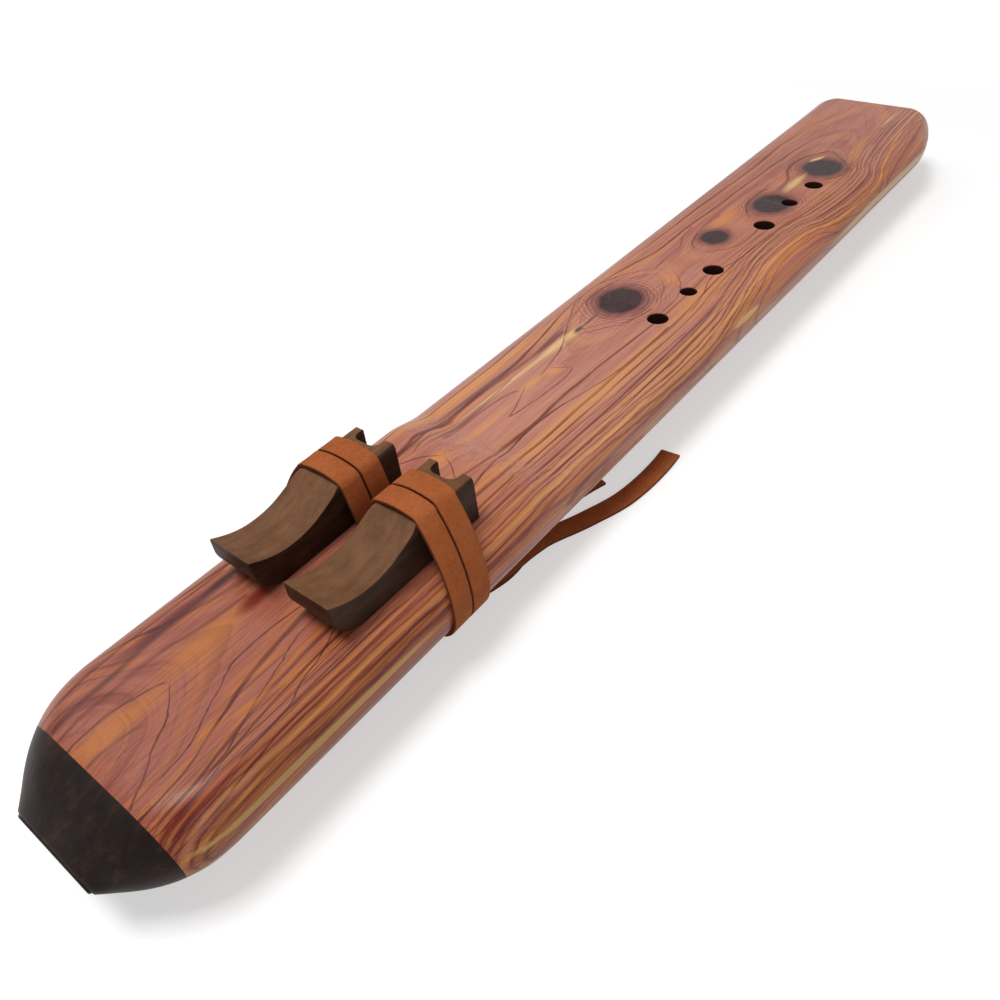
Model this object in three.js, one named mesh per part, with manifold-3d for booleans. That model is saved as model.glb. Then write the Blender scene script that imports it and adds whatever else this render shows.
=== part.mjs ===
// A double-barrelled cedar flute: two glued half bodies, a dark walnut mouthpiece tip,
// two walnut blocks that slide over their windways, and the leather thongs that tie them on.
// Lengths are in millimetres. X runs from the mouth end to the foot, Y to the player's left, Z up.
import * as THREE from "three";
import { mergeVertices } from "three/addons/utils/BufferGeometryUtils.js";
import Module from "manifold-3d";

// Driving sizes of the whole flute, measured from the mouth end and from the flat underside.
const flute_length = 506;
const body_width = 70;
const nest_height = 28.5;
const barrel_height = 24.8;
const tip_length = 16.5;
const nose_length = 34;
const mouth_edge = 0.6;
const ramp_start = 151.5;
const ramp_length = 18;
const seam_height = 13;
const overrun = 5;
const weld_distance = 0.001;

// The body's section is widest at the side's height and rounded above and below it.
const side_height = 17.5;
const top_corner_width = nest_height - side_height;
const bottom_corner_width = 24;
const foot_length = 40;
const foot_edge_radius = 2.6;

// Bores of the two barrels.
const bore_radius = 8.75;
const bore_offset = 13;
const breath_hole_radius = 2.25;
const breath_hole_offset = 9;
const air_chamber_start = 30;
const air_chamber_end = 101.3;
const sound_chamber_start = 127;

// Windway of each barrel: the exit of the slow air, the shallow flue and the sound hole.
const windway_width = 8;
const windway_start = 94;
const windway_exit_length = 5;
const flue_depth = 0.9;
const sound_hole_start = 129.8;
const sound_hole_length = 5.1;

// Finger holes over the right barrel.
const finger_hole_line = -8.4;
const last_hole_shift = -1.5;
const finger_hole_places = [260.6, 283.9, 303.8, 349, 373.9, 395.7];
const finger_hole_widths = [8.2, 6.8, 8.5, 9.05, 7, 8.2];

// Blocks, and how much nearer to the mouth everything sits on the left barrel.
const block_offset = 15;
const block_start = 77.6;
const block_length = 57.4;
const block_height = 15.9;
const block_foot_width = 17.8;
const block_top_width = 17.4;
const block_edge_radius = 2.3;
const block_bow_radius = 9.5;
const block_rear_drop = 0.5;
const notch_width = 9.9;
const notch_depth = 5;
const notch_corner_radius = 3;
const left_lead = 1;

// Leather thong, its two turns round each barrel and its slot between the barrels.
const thong_width = 7.5;
const thong_thickness = 1.2;
const thong_edge = 0.3;
const thong_clearance = 0.15;
const turn_pitch = 8.05;
const first_turn_place = 115.5;
const side_lean = 4.5;
const side_bow_radius = 51;
const crown_radius = 25;
const start_lead = 13.4;
const turn_lead = 7.8;
const swing_radius = 6;
const layer_gap = 0.8;
const slot_half_width = 2.6;
const slot_start = 109.8;
const slot_end = 130;
const slot_corner_radius = 1;

// Knot under each barrel, its short stub, and the gap that loose ends keep to it.
const knot_wall = 1.6;
const knot_clearance = 0.25;
const knot_length = 7.8;
const knot_corner_radius = 2;
const stub_length = 1.6;
const seat_gap = 0.3;

// Free tails of the right thong: points from the mouth end, across, and above the ground.
const long_tail_points = [
  [143.6, -22.6, 2.4],
  [148.5, -22.7, 2.4],
  [153, -23.1, 2.4],
  [157.5, -23.8, 2.4],
  [162, -24.7, 2.3],
  [166.5, -26, 1.8],
  [171.5, -27.6, 1.1],
  [177, -29.6, 0.7],
  [182.5, -31.6, 0.61],
  [188, -33.6, 0.61],
  [193.5, -35.2, 0.61],
  [199.5, -36.2, 0.61],
  [206, -36.8, 0.61],
  [212.5, -37, 0.61],
  [218.5, -36.9, 0.61],
  [224.5, -36.4, 0.61],
];
const short_tail_points = [
  [139.5, -21.1, 0.6],
  [143, -21.7, 0.6],
  [147, -21.8, 0.6],
  [151, -21.3, 0.6],
  [155, -20.4, 0.6],
  [159, -19.4, 0.6],
  [163, -18.6, 0.6],
  [167, -18, 0.6],
  [171, -17.7, 0.6],
  [175, -17.6, 0.6],
  [179, -17.8, 0.6],
  [184, -18.5, 0.6],
  [188, -19.3, 0.6],
  [192, -20.2, 0.6],
  [195.5, -21.2, 0.6],
  [199, -22.3, 0.6],
];

// Steps of the curved surfaces.
const corner_steps = 8;
const round_steps = 32;
const nose_steps = 18;
const ramp_steps = 8;
const edge_steps = 3;
const swing_steps = 4;
const tail_steps = 26;
const bend_step = Math.PI / 24;

const cedar = { color: 0xa2624a, roughness: 0.42, metalness: 0 };
const walnut = { color: 0x2b1d18, roughness: 0.38, metalness: 0 };
const block_walnut = { color: 0x4b382b, roughness: 0.5, metalness: 0 };
const leather = { color: 0x9a5127, roughness: 0.85, metalness: 0 };

const wasm = await Module();
wasm.setup();

// Turns a closed geometry into a solid that can be joined and cut.
function solid_of(geometry) {
  const bare = new THREE.BufferGeometry();
  const loose = geometry.index ? geometry.toNonIndexed() : geometry;
  bare.setAttribute("position", loose.getAttribute("position"));
  const merged = mergeVertices(bare, weld_distance);
  return new wasm.Manifold(
    new wasm.Mesh({
      numProp: 3,
      vertProperties: merged.attributes.position.array,
      triVerts: new Uint32Array(merged.index.array),
    }),
  );
}

function geometry_of(solid) {
  const mesh = solid.getMesh();
  const geometry = new THREE.BufferGeometry();
  geometry.setAttribute("position", new THREE.BufferAttribute(mesh.vertProperties, 3));
  geometry.setIndex(new THREE.BufferAttribute(mesh.triVerts, 1));
  const faceted = geometry.toNonIndexed();
  faceted.computeVertexNormals();
  return faceted;
}

function box_solid(low, high) {
  const size = high.clone().sub(low);
  const middle = low.clone().add(high).divideScalar(2);
  const geometry = new THREE.BoxGeometry(size.x, size.y, size.z);
  geometry.translate(middle.x, middle.y, middle.z);
  return solid_of(geometry);
}

// A round bore along X.
function bore_solid(radius, start, end, y, z) {
  const geometry = new THREE.CylinderGeometry(radius, radius, end - start, round_steps);
  geometry.rotateZ(Math.PI / 2);
  geometry.translate((start + end) / 2, y, z);
  return solid_of(geometry);
}

// A closed surface over rings that each hold the same number of points, turning from Y to Z.
function loft_geometry(rings) {
  const count = rings[0].length;
  const places = rings.flat().flatMap((point) => [point.x, point.y, point.z]);
  const faces = [];
  for (let i = 0; i + 1 < rings.length; i += 1) {
    for (let k = 0; k < count; k += 1) {
      const a = i * count + k;
      const b = i * count + ((k + 1) % count);
      faces.push(a, b, a + count, b, b + count, a + count);
    }
  }
  const last = (rings.length - 1) * count;
  for (let k = 1; k + 1 < count; k += 1) {
    faces.push(0, k + 1, k);
    faces.push(last, last + k, last + k + 1);
  }
  const geometry = new THREE.BufferGeometry();
  geometry.setAttribute("position", new THREE.Float32BufferAttribute(places, 3));
  geometry.setIndex(faces);
  return geometry;
}

// How much of the section the corners take where the body is full, and at the oval mouth end.
const full_shares = {
  top: top_corner_width / (body_width / 2),
  bottom: bottom_corner_width / (body_width / 2),
};
const oval_shares = { top: 0.8, bottom: 0.9, middle: 0.45 };

// One section of the body at x: flat on top and underneath where it is full, oval at the mouth.
// The shift moves the section to the left.
function section_ring(x, half_width, bottom, top, oval, shift = 0) {
  const blend = (name) => full_shares[name] + (oval_shares[name] - full_shares[name]) * oval;
  const top_width = half_width * blend("top");
  const bottom_width = half_width * blend("bottom");
  const oval_middle = bottom + (top - bottom) * oval_shares.middle;
  const middle = side_height + (oval_middle - side_height) * oval;
  const corners = [
    [1, top_width, top - middle],
    [-1, top_width, top - middle],
    [-1, bottom_width, middle - bottom],
    [1, bottom_width, middle - bottom],
  ];
  return corners.flatMap(([side, width, height], quarter) => {
    const points = [];
    for (let i = 0; i <= corner_steps; i += 1) {
      const angle = ((quarter + i / corner_steps) * Math.PI) / 2;
      const y = shift + side * (half_width - width) + width * Math.cos(angle);
      points.push(new THREE.Vector3(x, y, middle + height * Math.sin(angle)));
    }
    // The side has no straight stretch, so neighbouring corners share their end point there.
    return quarter % 2 ? points.slice(0, -1) : points.slice(quarter ? 1 : 0);
  });
}

// Shares of the nose's length, of half the body's width and of the nest's height:
// how far along, how wide, how high the underside and the top are, and how oval the section is.
const nose_shares = [
  [0, 0.463, 0.347, 0.614, 1],
  [0.118, 0.589, 0.246, 0.723, 0.92],
  [0.235, 0.714, 0.168, 0.818, 0.8],
  [0.353, 0.817, 0.105, 0.891, 0.66],
  [0.485, 0.9, 0.056, 0.951, 0.5],
  [0.647, 0.965, 0.021, 0.984, 0.3],
  [0.824, 0.993, 0.0035, 0.998, 0.1],
  [1, 1, 0, 1, 0],
];

function nose_rings() {
  const half = body_width / 2;
  const places = nose_shares.map(([along]) => along);
  const sizes = nose_shares.flatMap(([, ...rest]) => rest);
  const between = new THREE.CubicInterpolant(places, sizes, 4);
  const rings = [];
  for (let i = 0; i <= nose_steps; i += 1) {
    const along = i / nose_steps;
    const [wide, low, high, oval] = between.evaluate(along);
    const edge = i ? 0 : mouth_edge;
    const x = i ? along * nose_length : 0;
    const bottom = low * nest_height + edge;
    rings.push(section_ring(x, wide * half - edge, bottom, high * nest_height - edge, oval));
    if (!i) {
      rings.push(section_ring(mouth_edge, wide * half, low * nest_height, high * nest_height, oval));
    }
  }
  return rings;
}

function ramp_rings() {
  const drop = nest_height - barrel_height;
  const rings = [];
  for (let i = 0; i <= ramp_steps; i += 1) {
    const share = i / ramp_steps;
    const eased = share * share * (3 - 2 * share);
    const top = nest_height - eased * drop;
    rings.push(section_ring(ramp_start + share * ramp_length, body_width / 2, 0, top, 0));
  }
  return rings;
}

// Shares of the foot's length, of half the body's width and of the foot's edge radius:
// how far along, how far the left and the right side have drawn in, and how far the edges have.
const foot_shares = [
  [0, 0, 0, 0],
  [0.12, 0, 0.008, 0],
  [0.24, 0, 0.03, 0],
  [0.36, 0, 0.061, 0],
  [0.48, 0, 0.097, 0],
  [0.6, 0, 0.142, 0],
  [0.72, 0, 0.191, 0],
  [0.8, 0, 0.229, 0],
  [0.86, 0.007, 0.26, 0],
  [0.905, 0.03, 0.292, 0],
  [0.94, 0.064, 0.332, 0.01],
  [0.965, 0.102, 0.372, 0.12],
  [0.985, 0.15, 0.416, 0.37],
  [0.996, 0.193, 0.455, 0.65],
  [1, 0.229, 0.497, 1],
];

function foot_rings() {
  const half = body_width / 2;
  const start = flute_length - foot_length;
  return foot_shares.map(([along, left, right, rounded]) => {
    const half_width = half * (1 - (left + right) / 2);
    const shift = (half * (right - left)) / 2;
    const edge = foot_edge_radius * rounded;
    const x = start + along * foot_length;
    return section_ring(x, half_width, edge, barrel_height - edge, 0, shift);
  });
}

// Everything that is hollow in one barrel; side is 1 on the left and -1 on the right.
function barrel_hollow(side) {
  const y = side * bore_offset;
  const windway = side * block_offset;
  const half = windway_width / 2;
  const above = nest_height + overrun;
  const shift = side > 0 ? left_lead : 0;
  const breath_end = air_chamber_start + overrun;
  const hole_start = sound_hole_start - shift;
  const hole_end = hole_start + sound_hole_length;
  const exit_end = windway_start + windway_exit_length;
  const windway_cut = (start, end, floor) =>
    box_solid(
      new THREE.Vector3(start, windway - half, floor),
      new THREE.Vector3(end, windway + half, above),
    );
  return [
    bore_solid(breath_hole_radius, -overrun, breath_end, side * breath_hole_offset, seam_height),
    bore_solid(bore_radius, air_chamber_start, air_chamber_end, y, seam_height),
    bore_solid(bore_radius, sound_chamber_start, flute_length + overrun, y, seam_height),
    windway_cut(windway_start, exit_end, seam_height),
    windway_cut(windway_start, hole_end, nest_height - flue_depth),
    windway_cut(hole_start, hole_end, seam_height),
  ];
}

function finger_holes() {
  const tall = nest_height + overrun - seam_height;
  return finger_hole_places.map((place, i) => {
    const radius = finger_hole_widths[i] / 2;
    const shift = i === finger_hole_places.length - 1 ? last_hole_shift : 0;
    const geometry = new THREE.CylinderGeometry(radius, radius, tall, round_steps);
    geometry.rotateX(Math.PI / 2);
    geometry.translate(place, finger_hole_line + shift, seam_height + tall / 2);
    return solid_of(geometry);
  });
}

// A rectangle from its low corner, with the four corners rounded.
function rounded_rectangle(x, y, width, height, radius) {
  const outline = new THREE.Shape();
  outline.moveTo(x + radius, y);
  outline.absarc(x + width - radius, y + radius, radius, -Math.PI / 2, 0, false);
  outline.absarc(x + width - radius, y + height - radius, radius, 0, Math.PI / 2, false);
  outline.absarc(x + radius, y + height - radius, radius, Math.PI / 2, Math.PI, false);
  outline.absarc(x + radius, y + radius, radius, Math.PI, Math.PI * 1.5, false);
  return outline;
}

function extrude(outline, depth, steps) {
  return new THREE.ExtrudeGeometry(outline, { depth, bevelEnabled: false, curveSegments: steps });
}

// The slot between the barrels, which lets each thong pass round its own barrel.
function thong_slot() {
  const length = slot_end - slot_start;
  const width = 2 * slot_half_width;
  const outline = rounded_rectangle(slot_start, -slot_half_width, length, width, slot_corner_radius);
  const geometry = extrude(outline, nest_height + 2 * overrun, edge_steps);
  geometry.translate(0, 0, -overrun);
  return solid_of(geometry);
}

// The body as one solid, hollowed, then parted into the tip and the two halves.
function body_solids() {
  let body = solid_of(loft_geometry([...nose_rings(), ...ramp_rings(), ...foot_rings()]));
  const cuts = [...barrel_hollow(1), ...barrel_hollow(-1), ...finger_holes(), thong_slot()];
  for (const cut of cuts) {
    body = body.subtract(cut);
  }
  const wide = body_width / 2 + overrun;
  const room = (start, end, low, high) =>
    box_solid(new THREE.Vector3(start, -wide, low), new THREE.Vector3(end, wide, high));
  const low = -overrun;
  const high = nest_height + overrun;
  const end = flute_length + overrun;
  return {
    tip: body.intersect(room(-overrun, tip_length, low, high)),
    upper: body.intersect(room(tip_length, end, seam_height, high)),
    lower: body.intersect(room(tip_length, end, low, seam_height)),
  };
}

// Shares of the block's length and height along its concave back, from the bow to the crest.
const block_back_shares = [
  [0, 0.875],
  [0.075, 0.745],
  [0.145, 0.655],
  [0.215, 0.61],
  [0.3, 0.61],
  [0.385, 0.66],
  [0.46, 0.755],
  [0.53, 0.865],
  [0.585, 0.965],
  [0.62, 1],
];

// The block's side outline: x from its bow, y up from the nest.
function block_outline() {
  const bow = block_bow_radius;
  const outline = new THREE.Shape();
  outline.moveTo(block_length, 0);
  outline.lineTo(block_length, block_height - block_rear_drop);
  outline.lineTo(block_length - notch_depth, block_height);
  for (const [along, up] of [...block_back_shares].reverse()) {
    outline.lineTo(along * block_length, up * block_height);
  }
  outline.absarc(bow, bow, bow, Math.PI, Math.PI * 1.5, false);
  return outline;
}

// The block's end outline, which tapers upwards to rounded top edges.
function block_section() {
  const foot = block_foot_width / 2;
  const top = block_top_width / 2;
  const radius = block_edge_radius;
  const outline = new THREE.Shape();
  outline.moveTo(-foot, 0);
  outline.lineTo(foot, 0);
  outline.absarc(top - radius, block_height - radius, radius, 0, Math.PI / 2, false);
  outline.absarc(radius - top, block_height - radius, radius, Math.PI / 2, Math.PI, false);
  return outline;
}

function block_geometry() {
  const side = extrude(block_outline(), block_foot_width, corner_steps);
  side.rotateX(Math.PI / 2);
  side.translate(0, block_foot_width / 2, 0);
  const end = extrude(block_section(), block_length, corner_steps);
  end.rotateX(Math.PI / 2);
  end.rotateZ(Math.PI / 2);
  const notch_start = block_length - notch_depth;
  const notch_room = notch_depth + notch_corner_radius + overrun;
  const mouth = rounded_rectangle(
    notch_start,
    -notch_width / 2,
    notch_room,
    notch_width,
    notch_corner_radius,
  );
  const notch = extrude(mouth, block_height + 2 * overrun, corner_steps);
  notch.translate(0, 0, -overrun);
  return geometry_of(solid_of(side).intersect(solid_of(end)).subtract(solid_of(notch)));
}

// The ring of a flat leather strip, with its four edges broken.
function strip_ring({ place, ahead, out }) {
  const flat = out.clone().addScaledVector(ahead, -out.dot(ahead)).normalize();
  const across = ahead.clone().cross(flat);
  const thick = thong_thickness / 2;
  const wide = thong_width / 2;
  const corners = [
    [thong_edge - thick, -wide],
    [thick - thong_edge, -wide],
    [thick, thong_edge - wide],
    [thick, wide - thong_edge],
    [thick - thong_edge, wide],
    [thong_edge - thick, wide],
    [-thick, wide - thong_edge],
    [-thick, thong_edge - wide],
  ];
  return corners.map(([up, aside]) =>
    place.clone().addScaledVector(flat, up).addScaledVector(across, aside),
  );
}

// Adds to each stop of a strip's path the direction in which the strip runs there.
function with_heading(path) {
  return path.map((stop, i) => {
    const before = path[Math.max(0, i - 1)].place;
    const after = path[Math.min(path.length - 1, i + 1)].place;
    return { ...stop, ahead: after.clone().sub(before).normalize() };
  });
}

function strip_geometry(path) {
  return loft_geometry(with_heading(path).map(strip_ring));
}

// The strip's centre keeps off what it holds by a clearance and half its thickness.
const thong_stand = thong_clearance + thong_thickness / 2;
const half_width = body_width / 2;
const far_turn_place = first_turn_place + turn_pitch;
const knot_depth = thong_stand + thong_thickness + layer_gap;
const knot_half_width = thong_width / 2 + knot_clearance + knot_wall;
const knot_half_height = thong_thickness / 2 + knot_clearance + knot_wall;
const ground_height = knot_depth + knot_half_height;

// Stops of a strip round an edge that runs along X; x is a function of the share of the bend.
function bend(x_at, centre, reach, from, to) {
  const steps = Math.ceil(Math.abs(to - from) / bend_step);
  const stops = [];
  for (let i = 0; i <= steps; i += 1) {
    const angle = from + ((to - from) * i) / steps;
    const out = new THREE.Vector3(0, Math.cos(angle), Math.sin(angle));
    const y = centre.x + reach.x * out.y;
    const z = centre.y + reach.y * out.z;
    stops.push({ place: new THREE.Vector3(x_at(i / steps, angle), y, z), out });
  }
  return stops;
}

// The right barrel's lower outer corner, where the strip swings in from a slant along X.
function under_corner(low_place, lead, from) {
  const slant = (share, angle) => low_place + lead * (1 - Math.abs(Math.cos(angle))) ** 2;
  const centre = new THREE.Vector2(bottom_corner_width - half_width, side_height);
  const reach = new THREE.Vector2(bottom_corner_width, side_height).addScalar(thong_stand);
  return bend(slant, centre, reach, from, Math.PI);
}

// The centre of the bow of a radius in which stiff leather crosses from one edge to the next.
function bow_centre(from, from_reach, to, to_reach, radius) {
  const ahead = to.clone().sub(from);
  const distance = ahead.length();
  ahead.normalize();
  const start = radius - from_reach;
  const end = radius - to_reach;
  const along = (start ** 2 - end ** 2 + distance ** 2) / (2 * distance);
  const aside = Math.sqrt(start ** 2 - along ** 2);
  const inward = new THREE.Vector2(ahead.y, -ahead.x);
  return from.clone().addScaledVector(ahead, along).addScaledVector(inward, aside);
}

// Up from the side's widest line, over the block, and down into the slot between the barrels.
function over_block(top_place) {
  const crest = nest_height + block_height - block_edge_radius;
  const inset = block_top_width / 2 - block_edge_radius;
  const shoulder = new THREE.Vector2(top_corner_width - half_width, side_height);
  const outer_edge = new THREE.Vector2(-block_offset - inset, crest);
  const inner_edge = new THREE.Vector2(inset - block_offset, crest);
  const shoulder_reach = top_corner_width + thong_stand;
  const reach = block_edge_radius + thong_stand;
  const side = bow_centre(shoulder, shoulder_reach, outer_edge, reach, side_bow_radius);
  const crown = bow_centre(outer_edge, reach, inner_edge, reach, crown_radius);
  const heading = (from, to) => to.clone().sub(from).angle();
  const side_start = heading(side, shoulder);
  const side_end = heading(side, outer_edge);
  const crown_start = heading(crown, outer_edge);
  const crown_end = heading(crown, inner_edge);
  const slot_line = new THREE.Vector2(thong_stand - slot_half_width, nest_height);
  const down = slot_line.clone().sub(inner_edge);
  const leave_angle = down.angle() - 2 * Math.PI + Math.acos(reach / down.length());
  const end_share = 0.1;
  const lean = (from, to) => (share) =>
    top_place + side_lean * (from + (to - from) * share - 1);
  const arc = (x_at, centre, radius, from, to) =>
    bend(x_at, centre, new THREE.Vector2(radius, radius), from, to).slice(1);
  const into_slot = new THREE.Vector3(top_place, slot_line.x, slot_line.y);
  return [
    ...arc(lean(0, end_share), shoulder, shoulder_reach, Math.PI, side_start),
    ...arc(lean(end_share, 1 - end_share), side, side_bow_radius, side_start, side_end),
    ...arc(lean(1 - end_share, 1), outer_edge, reach, side_end, crown_start),
    ...arc(lean(1, 1), crown, crown_radius, crown_start, crown_end),
    ...arc(lean(1, 1), inner_edge, reach, crown_end, leave_angle),
    { place: into_slot, out: new THREE.Vector3(0, 1, 0) },
  ];
}

// Out of the slot's lower edge at a depth under the body.
function out_of_slot(place, depth) {
  const centre = new THREE.Vector2(-slot_half_width, thong_stand - depth);
  const reach = new THREE.Vector2(thong_stand, thong_stand);
  return bend(() => place, centre, reach, 0, -Math.PI / 2);
}

// A turn of the strip in its own plane, from heading straight out of the slot to a new heading.
function swing(place, crossing, heading, depth) {
  const turn = Math.atan2(heading.x, -heading.y);
  const reach = swing_radius * Math.tan(Math.abs(turn) / 2);
  const side = Math.sign(turn);
  const centre = new THREE.Vector2(place + side * swing_radius, crossing + reach);
  const stops = [];
  for (let i = 0; i <= swing_steps; i += 1) {
    const angle = (Math.abs(turn) * i) / swing_steps;
    const x = centre.x - side * swing_radius * Math.cos(angle);
    const y = centre.y - swing_radius * Math.sin(angle);
    stops.push({ place: new THREE.Vector3(x, y, -depth), out: new THREE.Vector3(0, 0, -1) });
  }
  return stops;
}

// The right winding and its knot's place: from the knot round the turn nearer the foot, under the
// barrel to the turn nearer the mouth, then under the first crossing and through the knot.
function winding() {
  const near = first_turn_place;
  const far = far_turn_place;
  const down = new THREE.Vector3(0, 0, -1);
  const first = under_corner(far - side_lean, start_lead, Math.PI * 1.5 - 3 * bend_step);
  const toward_knot = first[0].place.clone().sub(first[1].place).setZ(0).normalize();
  const knot = first[0].place.clone().addScaledVector(toward_knot, knot_half_width + seat_gap);
  knot.setZ(-knot_depth);
  const along = new THREE.Vector3(toward_knot.y, -toward_knot.x, 0);

  const second = under_corner(near - side_lean, turn_lead, Math.PI * 1.5);
  const slant = second[0].place.clone().sub(second[1].place).setZ(0).normalize().negate();
  const first_crossing =
    second[0].place.y + ((far - second[0].place.x) * slant.y) / slant.x;
  const last_crossing = knot.y + ((near - knot.x) * along.y) / along.x;
  const reach = knot_length / 2 + stub_length;
  const path = [
    ...first,
    ...over_block(far),
    ...out_of_slot(far, thong_stand),
    ...swing(far, first_crossing, slant, thong_stand),
    ...second,
    ...over_block(near),
    ...out_of_slot(near, knot_depth),
    ...swing(near, last_crossing, along, knot_depth),
    { place: knot.clone().addScaledVector(along, -reach), out: down },
    { place: knot.clone().addScaledVector(along, reach), out: down },
  ];
  return { path, knot, along };
}

// The least distance between stretches of a strip that lie further apart along it than its width.
function least_gap(path) {
  const spots = [];
  let run = 0;
  with_heading(path).forEach((stop, i, stops) => {
    if (!i) {
      return;
    }
    const before = stops[i - 1];
    const length = stop.place.distanceTo(before.place);
    const parts = Math.ceil(length / thong_thickness);
    for (let part = 0; part < parts; part += 1) {
      const share = part / parts;
      const place = before.place.clone().lerp(stop.place, share);
      const out = before.out.clone().lerp(stop.out, share);
      const ahead = before.ahead.clone().lerp(stop.ahead, share).normalize();
      const ring = strip_ring({ place, ahead, out });
      const far_run = run + length * share;
      const across = Math.ceil(thong_width / thong_thickness);
      for (const [a, b] of [[2, 3], [6, 7]]) {
        for (let k = 0; k <= across; k += 1) {
          spots.push({ spot: ring[a].clone().lerp(ring[b], k / across), run: far_run });
        }
      }
      spots.push({ spot: ring[0], run: far_run });
      spots.push({ spot: ring[4], run: far_run });
    }
    run += length;
  });
  let least = Infinity;
  spots.forEach((one, i) => {
    for (const other of spots.slice(i + 1)) {
      if (other.run - one.run > 2 * thong_width) {
        least = Math.min(least, one.spot.distanceToSquared(other.spot));
      }
    }
  });
  return Math.sqrt(least);
}

// The knot: a tight collar of leather round the end strand.
function knot_geometry({ knot, along }) {
  const open_width = thong_width + 2 * knot_clearance;
  const open_height = thong_thickness + 2 * knot_clearance;
  const width = 2 * knot_half_width;
  const height = 2 * knot_half_height;
  const outline = rounded_rectangle(
    -knot_half_width,
    -knot_half_height,
    width,
    height,
    knot_corner_radius,
  );
  const opening = rounded_rectangle(
    -open_width / 2,
    -open_height / 2,
    open_width,
    open_height,
    thong_edge,
  );
  outline.holes.push(opening);
  const geometry = extrude(outline, knot_length, edge_steps);
  geometry.translate(0, 0, -knot_length / 2);
  geometry.rotateX(Math.PI / 2);
  geometry.rotateZ(Math.atan2(along.x, -along.y));
  geometry.translate(knot.x, knot.y, knot.z);
  return geometry;
}

// A free tail: a strip that leaves its start straight along a heading, then follows its points.
function tail_geometry(start, heading, points) {
  const straight = start.clone().addScaledVector(heading, thong_width / 2);
  const route = points.map(([x, y, height]) => new THREE.Vector3(x, y, height - ground_height));
  const curve = new THREE.CatmullRomCurve3([start, straight, ...route]);
  const up = new THREE.Vector3(0, 0, 1);
  return strip_geometry(curve.getSpacedPoints(tail_steps).map((place) => ({ place, out: up })));
}

const flute = new THREE.Group();
flute.position.set(-flute_length / 2, 0, ground_height);

function add_piece(name, geometry, look) {
  const mesh = new THREE.Mesh(geometry, new THREE.MeshStandardMaterial(look));
  mesh.name = name;
  flute.add(mesh);
  return mesh;
}

const body = body_solids();
add_piece("mouthpiece_tip", geometry_of(body.tip), walnut);
add_piece("upper_body_half", geometry_of(body.upper), cedar);
add_piece("lower_body_half", geometry_of(body.lower), cedar);

const tie = winding();
console.log("least gap of a thong's winding to itself, mm:", least_gap(tie.path).toFixed(2));
for (const [name, side] of [["right", -1], ["left", 1]]) {
  const lead = side > 0 ? left_lead : 0;
  const block = add_piece(name + "_block", block_geometry(), block_walnut);
  block.position.set(block_start - lead, side * block_offset, nest_height);
  const thong = add_piece(name + "_thong", strip_geometry(tie.path), leather);
  thong.position.x = -lead;
  thong.scale.y = -side;
  const knot = add_piece(name + "_knot", knot_geometry(tie), leather);
  knot.position.x = -lead;
  knot.scale.y = -side;
}

const stub_end = knot_length / 2 + stub_length + seat_gap;
const long_start = tie.knot.clone().addScaledVector(tie.along, stub_end);
add_piece("long_tail", tail_geometry(long_start, tie.along, long_tail_points), leather);
const short_start = tie.knot.clone().addScaledVector(tie.along, knot_length / 2 + seat_gap);
short_start.setZ(thong_thickness / 2 - ground_height);
add_piece("short_tail", tail_geometry(short_start, tie.along, short_tail_points), leather);

export default flute;
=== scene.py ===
"""A double-barrelled cedar flute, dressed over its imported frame: leather tails, cedar body halves,
dark walnut tip, two walnut blocks and the leather thongs that tie them on. The view and the light
are set in metres, the flute's own sizes in millimetres, which to_frame turns into metres."""

import math

import bmesh
import bpy
from mathutils import Matrix, Vector


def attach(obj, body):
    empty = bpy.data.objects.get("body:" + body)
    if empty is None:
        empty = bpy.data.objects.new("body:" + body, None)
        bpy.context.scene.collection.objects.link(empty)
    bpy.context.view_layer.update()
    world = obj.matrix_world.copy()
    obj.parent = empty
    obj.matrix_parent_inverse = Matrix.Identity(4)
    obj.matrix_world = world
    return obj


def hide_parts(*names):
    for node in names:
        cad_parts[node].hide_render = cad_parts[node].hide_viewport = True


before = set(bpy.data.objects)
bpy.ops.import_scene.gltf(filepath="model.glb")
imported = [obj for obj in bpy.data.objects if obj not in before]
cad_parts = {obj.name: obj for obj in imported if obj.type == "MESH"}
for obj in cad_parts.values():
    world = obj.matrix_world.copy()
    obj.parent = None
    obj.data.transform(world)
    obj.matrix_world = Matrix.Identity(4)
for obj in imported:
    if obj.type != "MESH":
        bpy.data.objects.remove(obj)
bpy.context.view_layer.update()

# The view and the light: a camera above the mouth end, a white floor that keeps the shadow, a broad
# soft lamp overhead, a window on the far side for the sheen, and a reflector on the near side.
camera_place = Vector((-0.25201, -0.16028, 0.21270))
picture_right = Vector((0.62101, -0.77804, -0.09487))
picture_down = Vector((-0.57097, -0.36613, -0.73481))
lens_length = 31.946
sky_level = 0.22
floor_reach = 6
floor_grey = 0.6
floor_glow = 0.5
# Between these two distances from the middle the floor's glow rises to this many times its strength.
far_floor = (0.36, 0.7)
far_glow = 1.7

camera_data = bpy.data.cameras.new("view")
camera_data.lens = lens_length
camera_data.sensor_width = 36
camera_data.sensor_fit = "HORIZONTAL"
camera_data.clip_start = 0.01
camera = bpy.data.objects.new("view", camera_data)
picture_axes = Matrix((picture_right, -picture_down, picture_right.cross(-picture_down)))
camera.matrix_world = Matrix.Translation(camera_place) @ picture_axes.transposed().to_4x4()
bpy.context.scene.collection.objects.link(camera)
bpy.context.scene.camera = camera
bpy.context.scene.view_settings.view_transform = "Standard"


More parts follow.
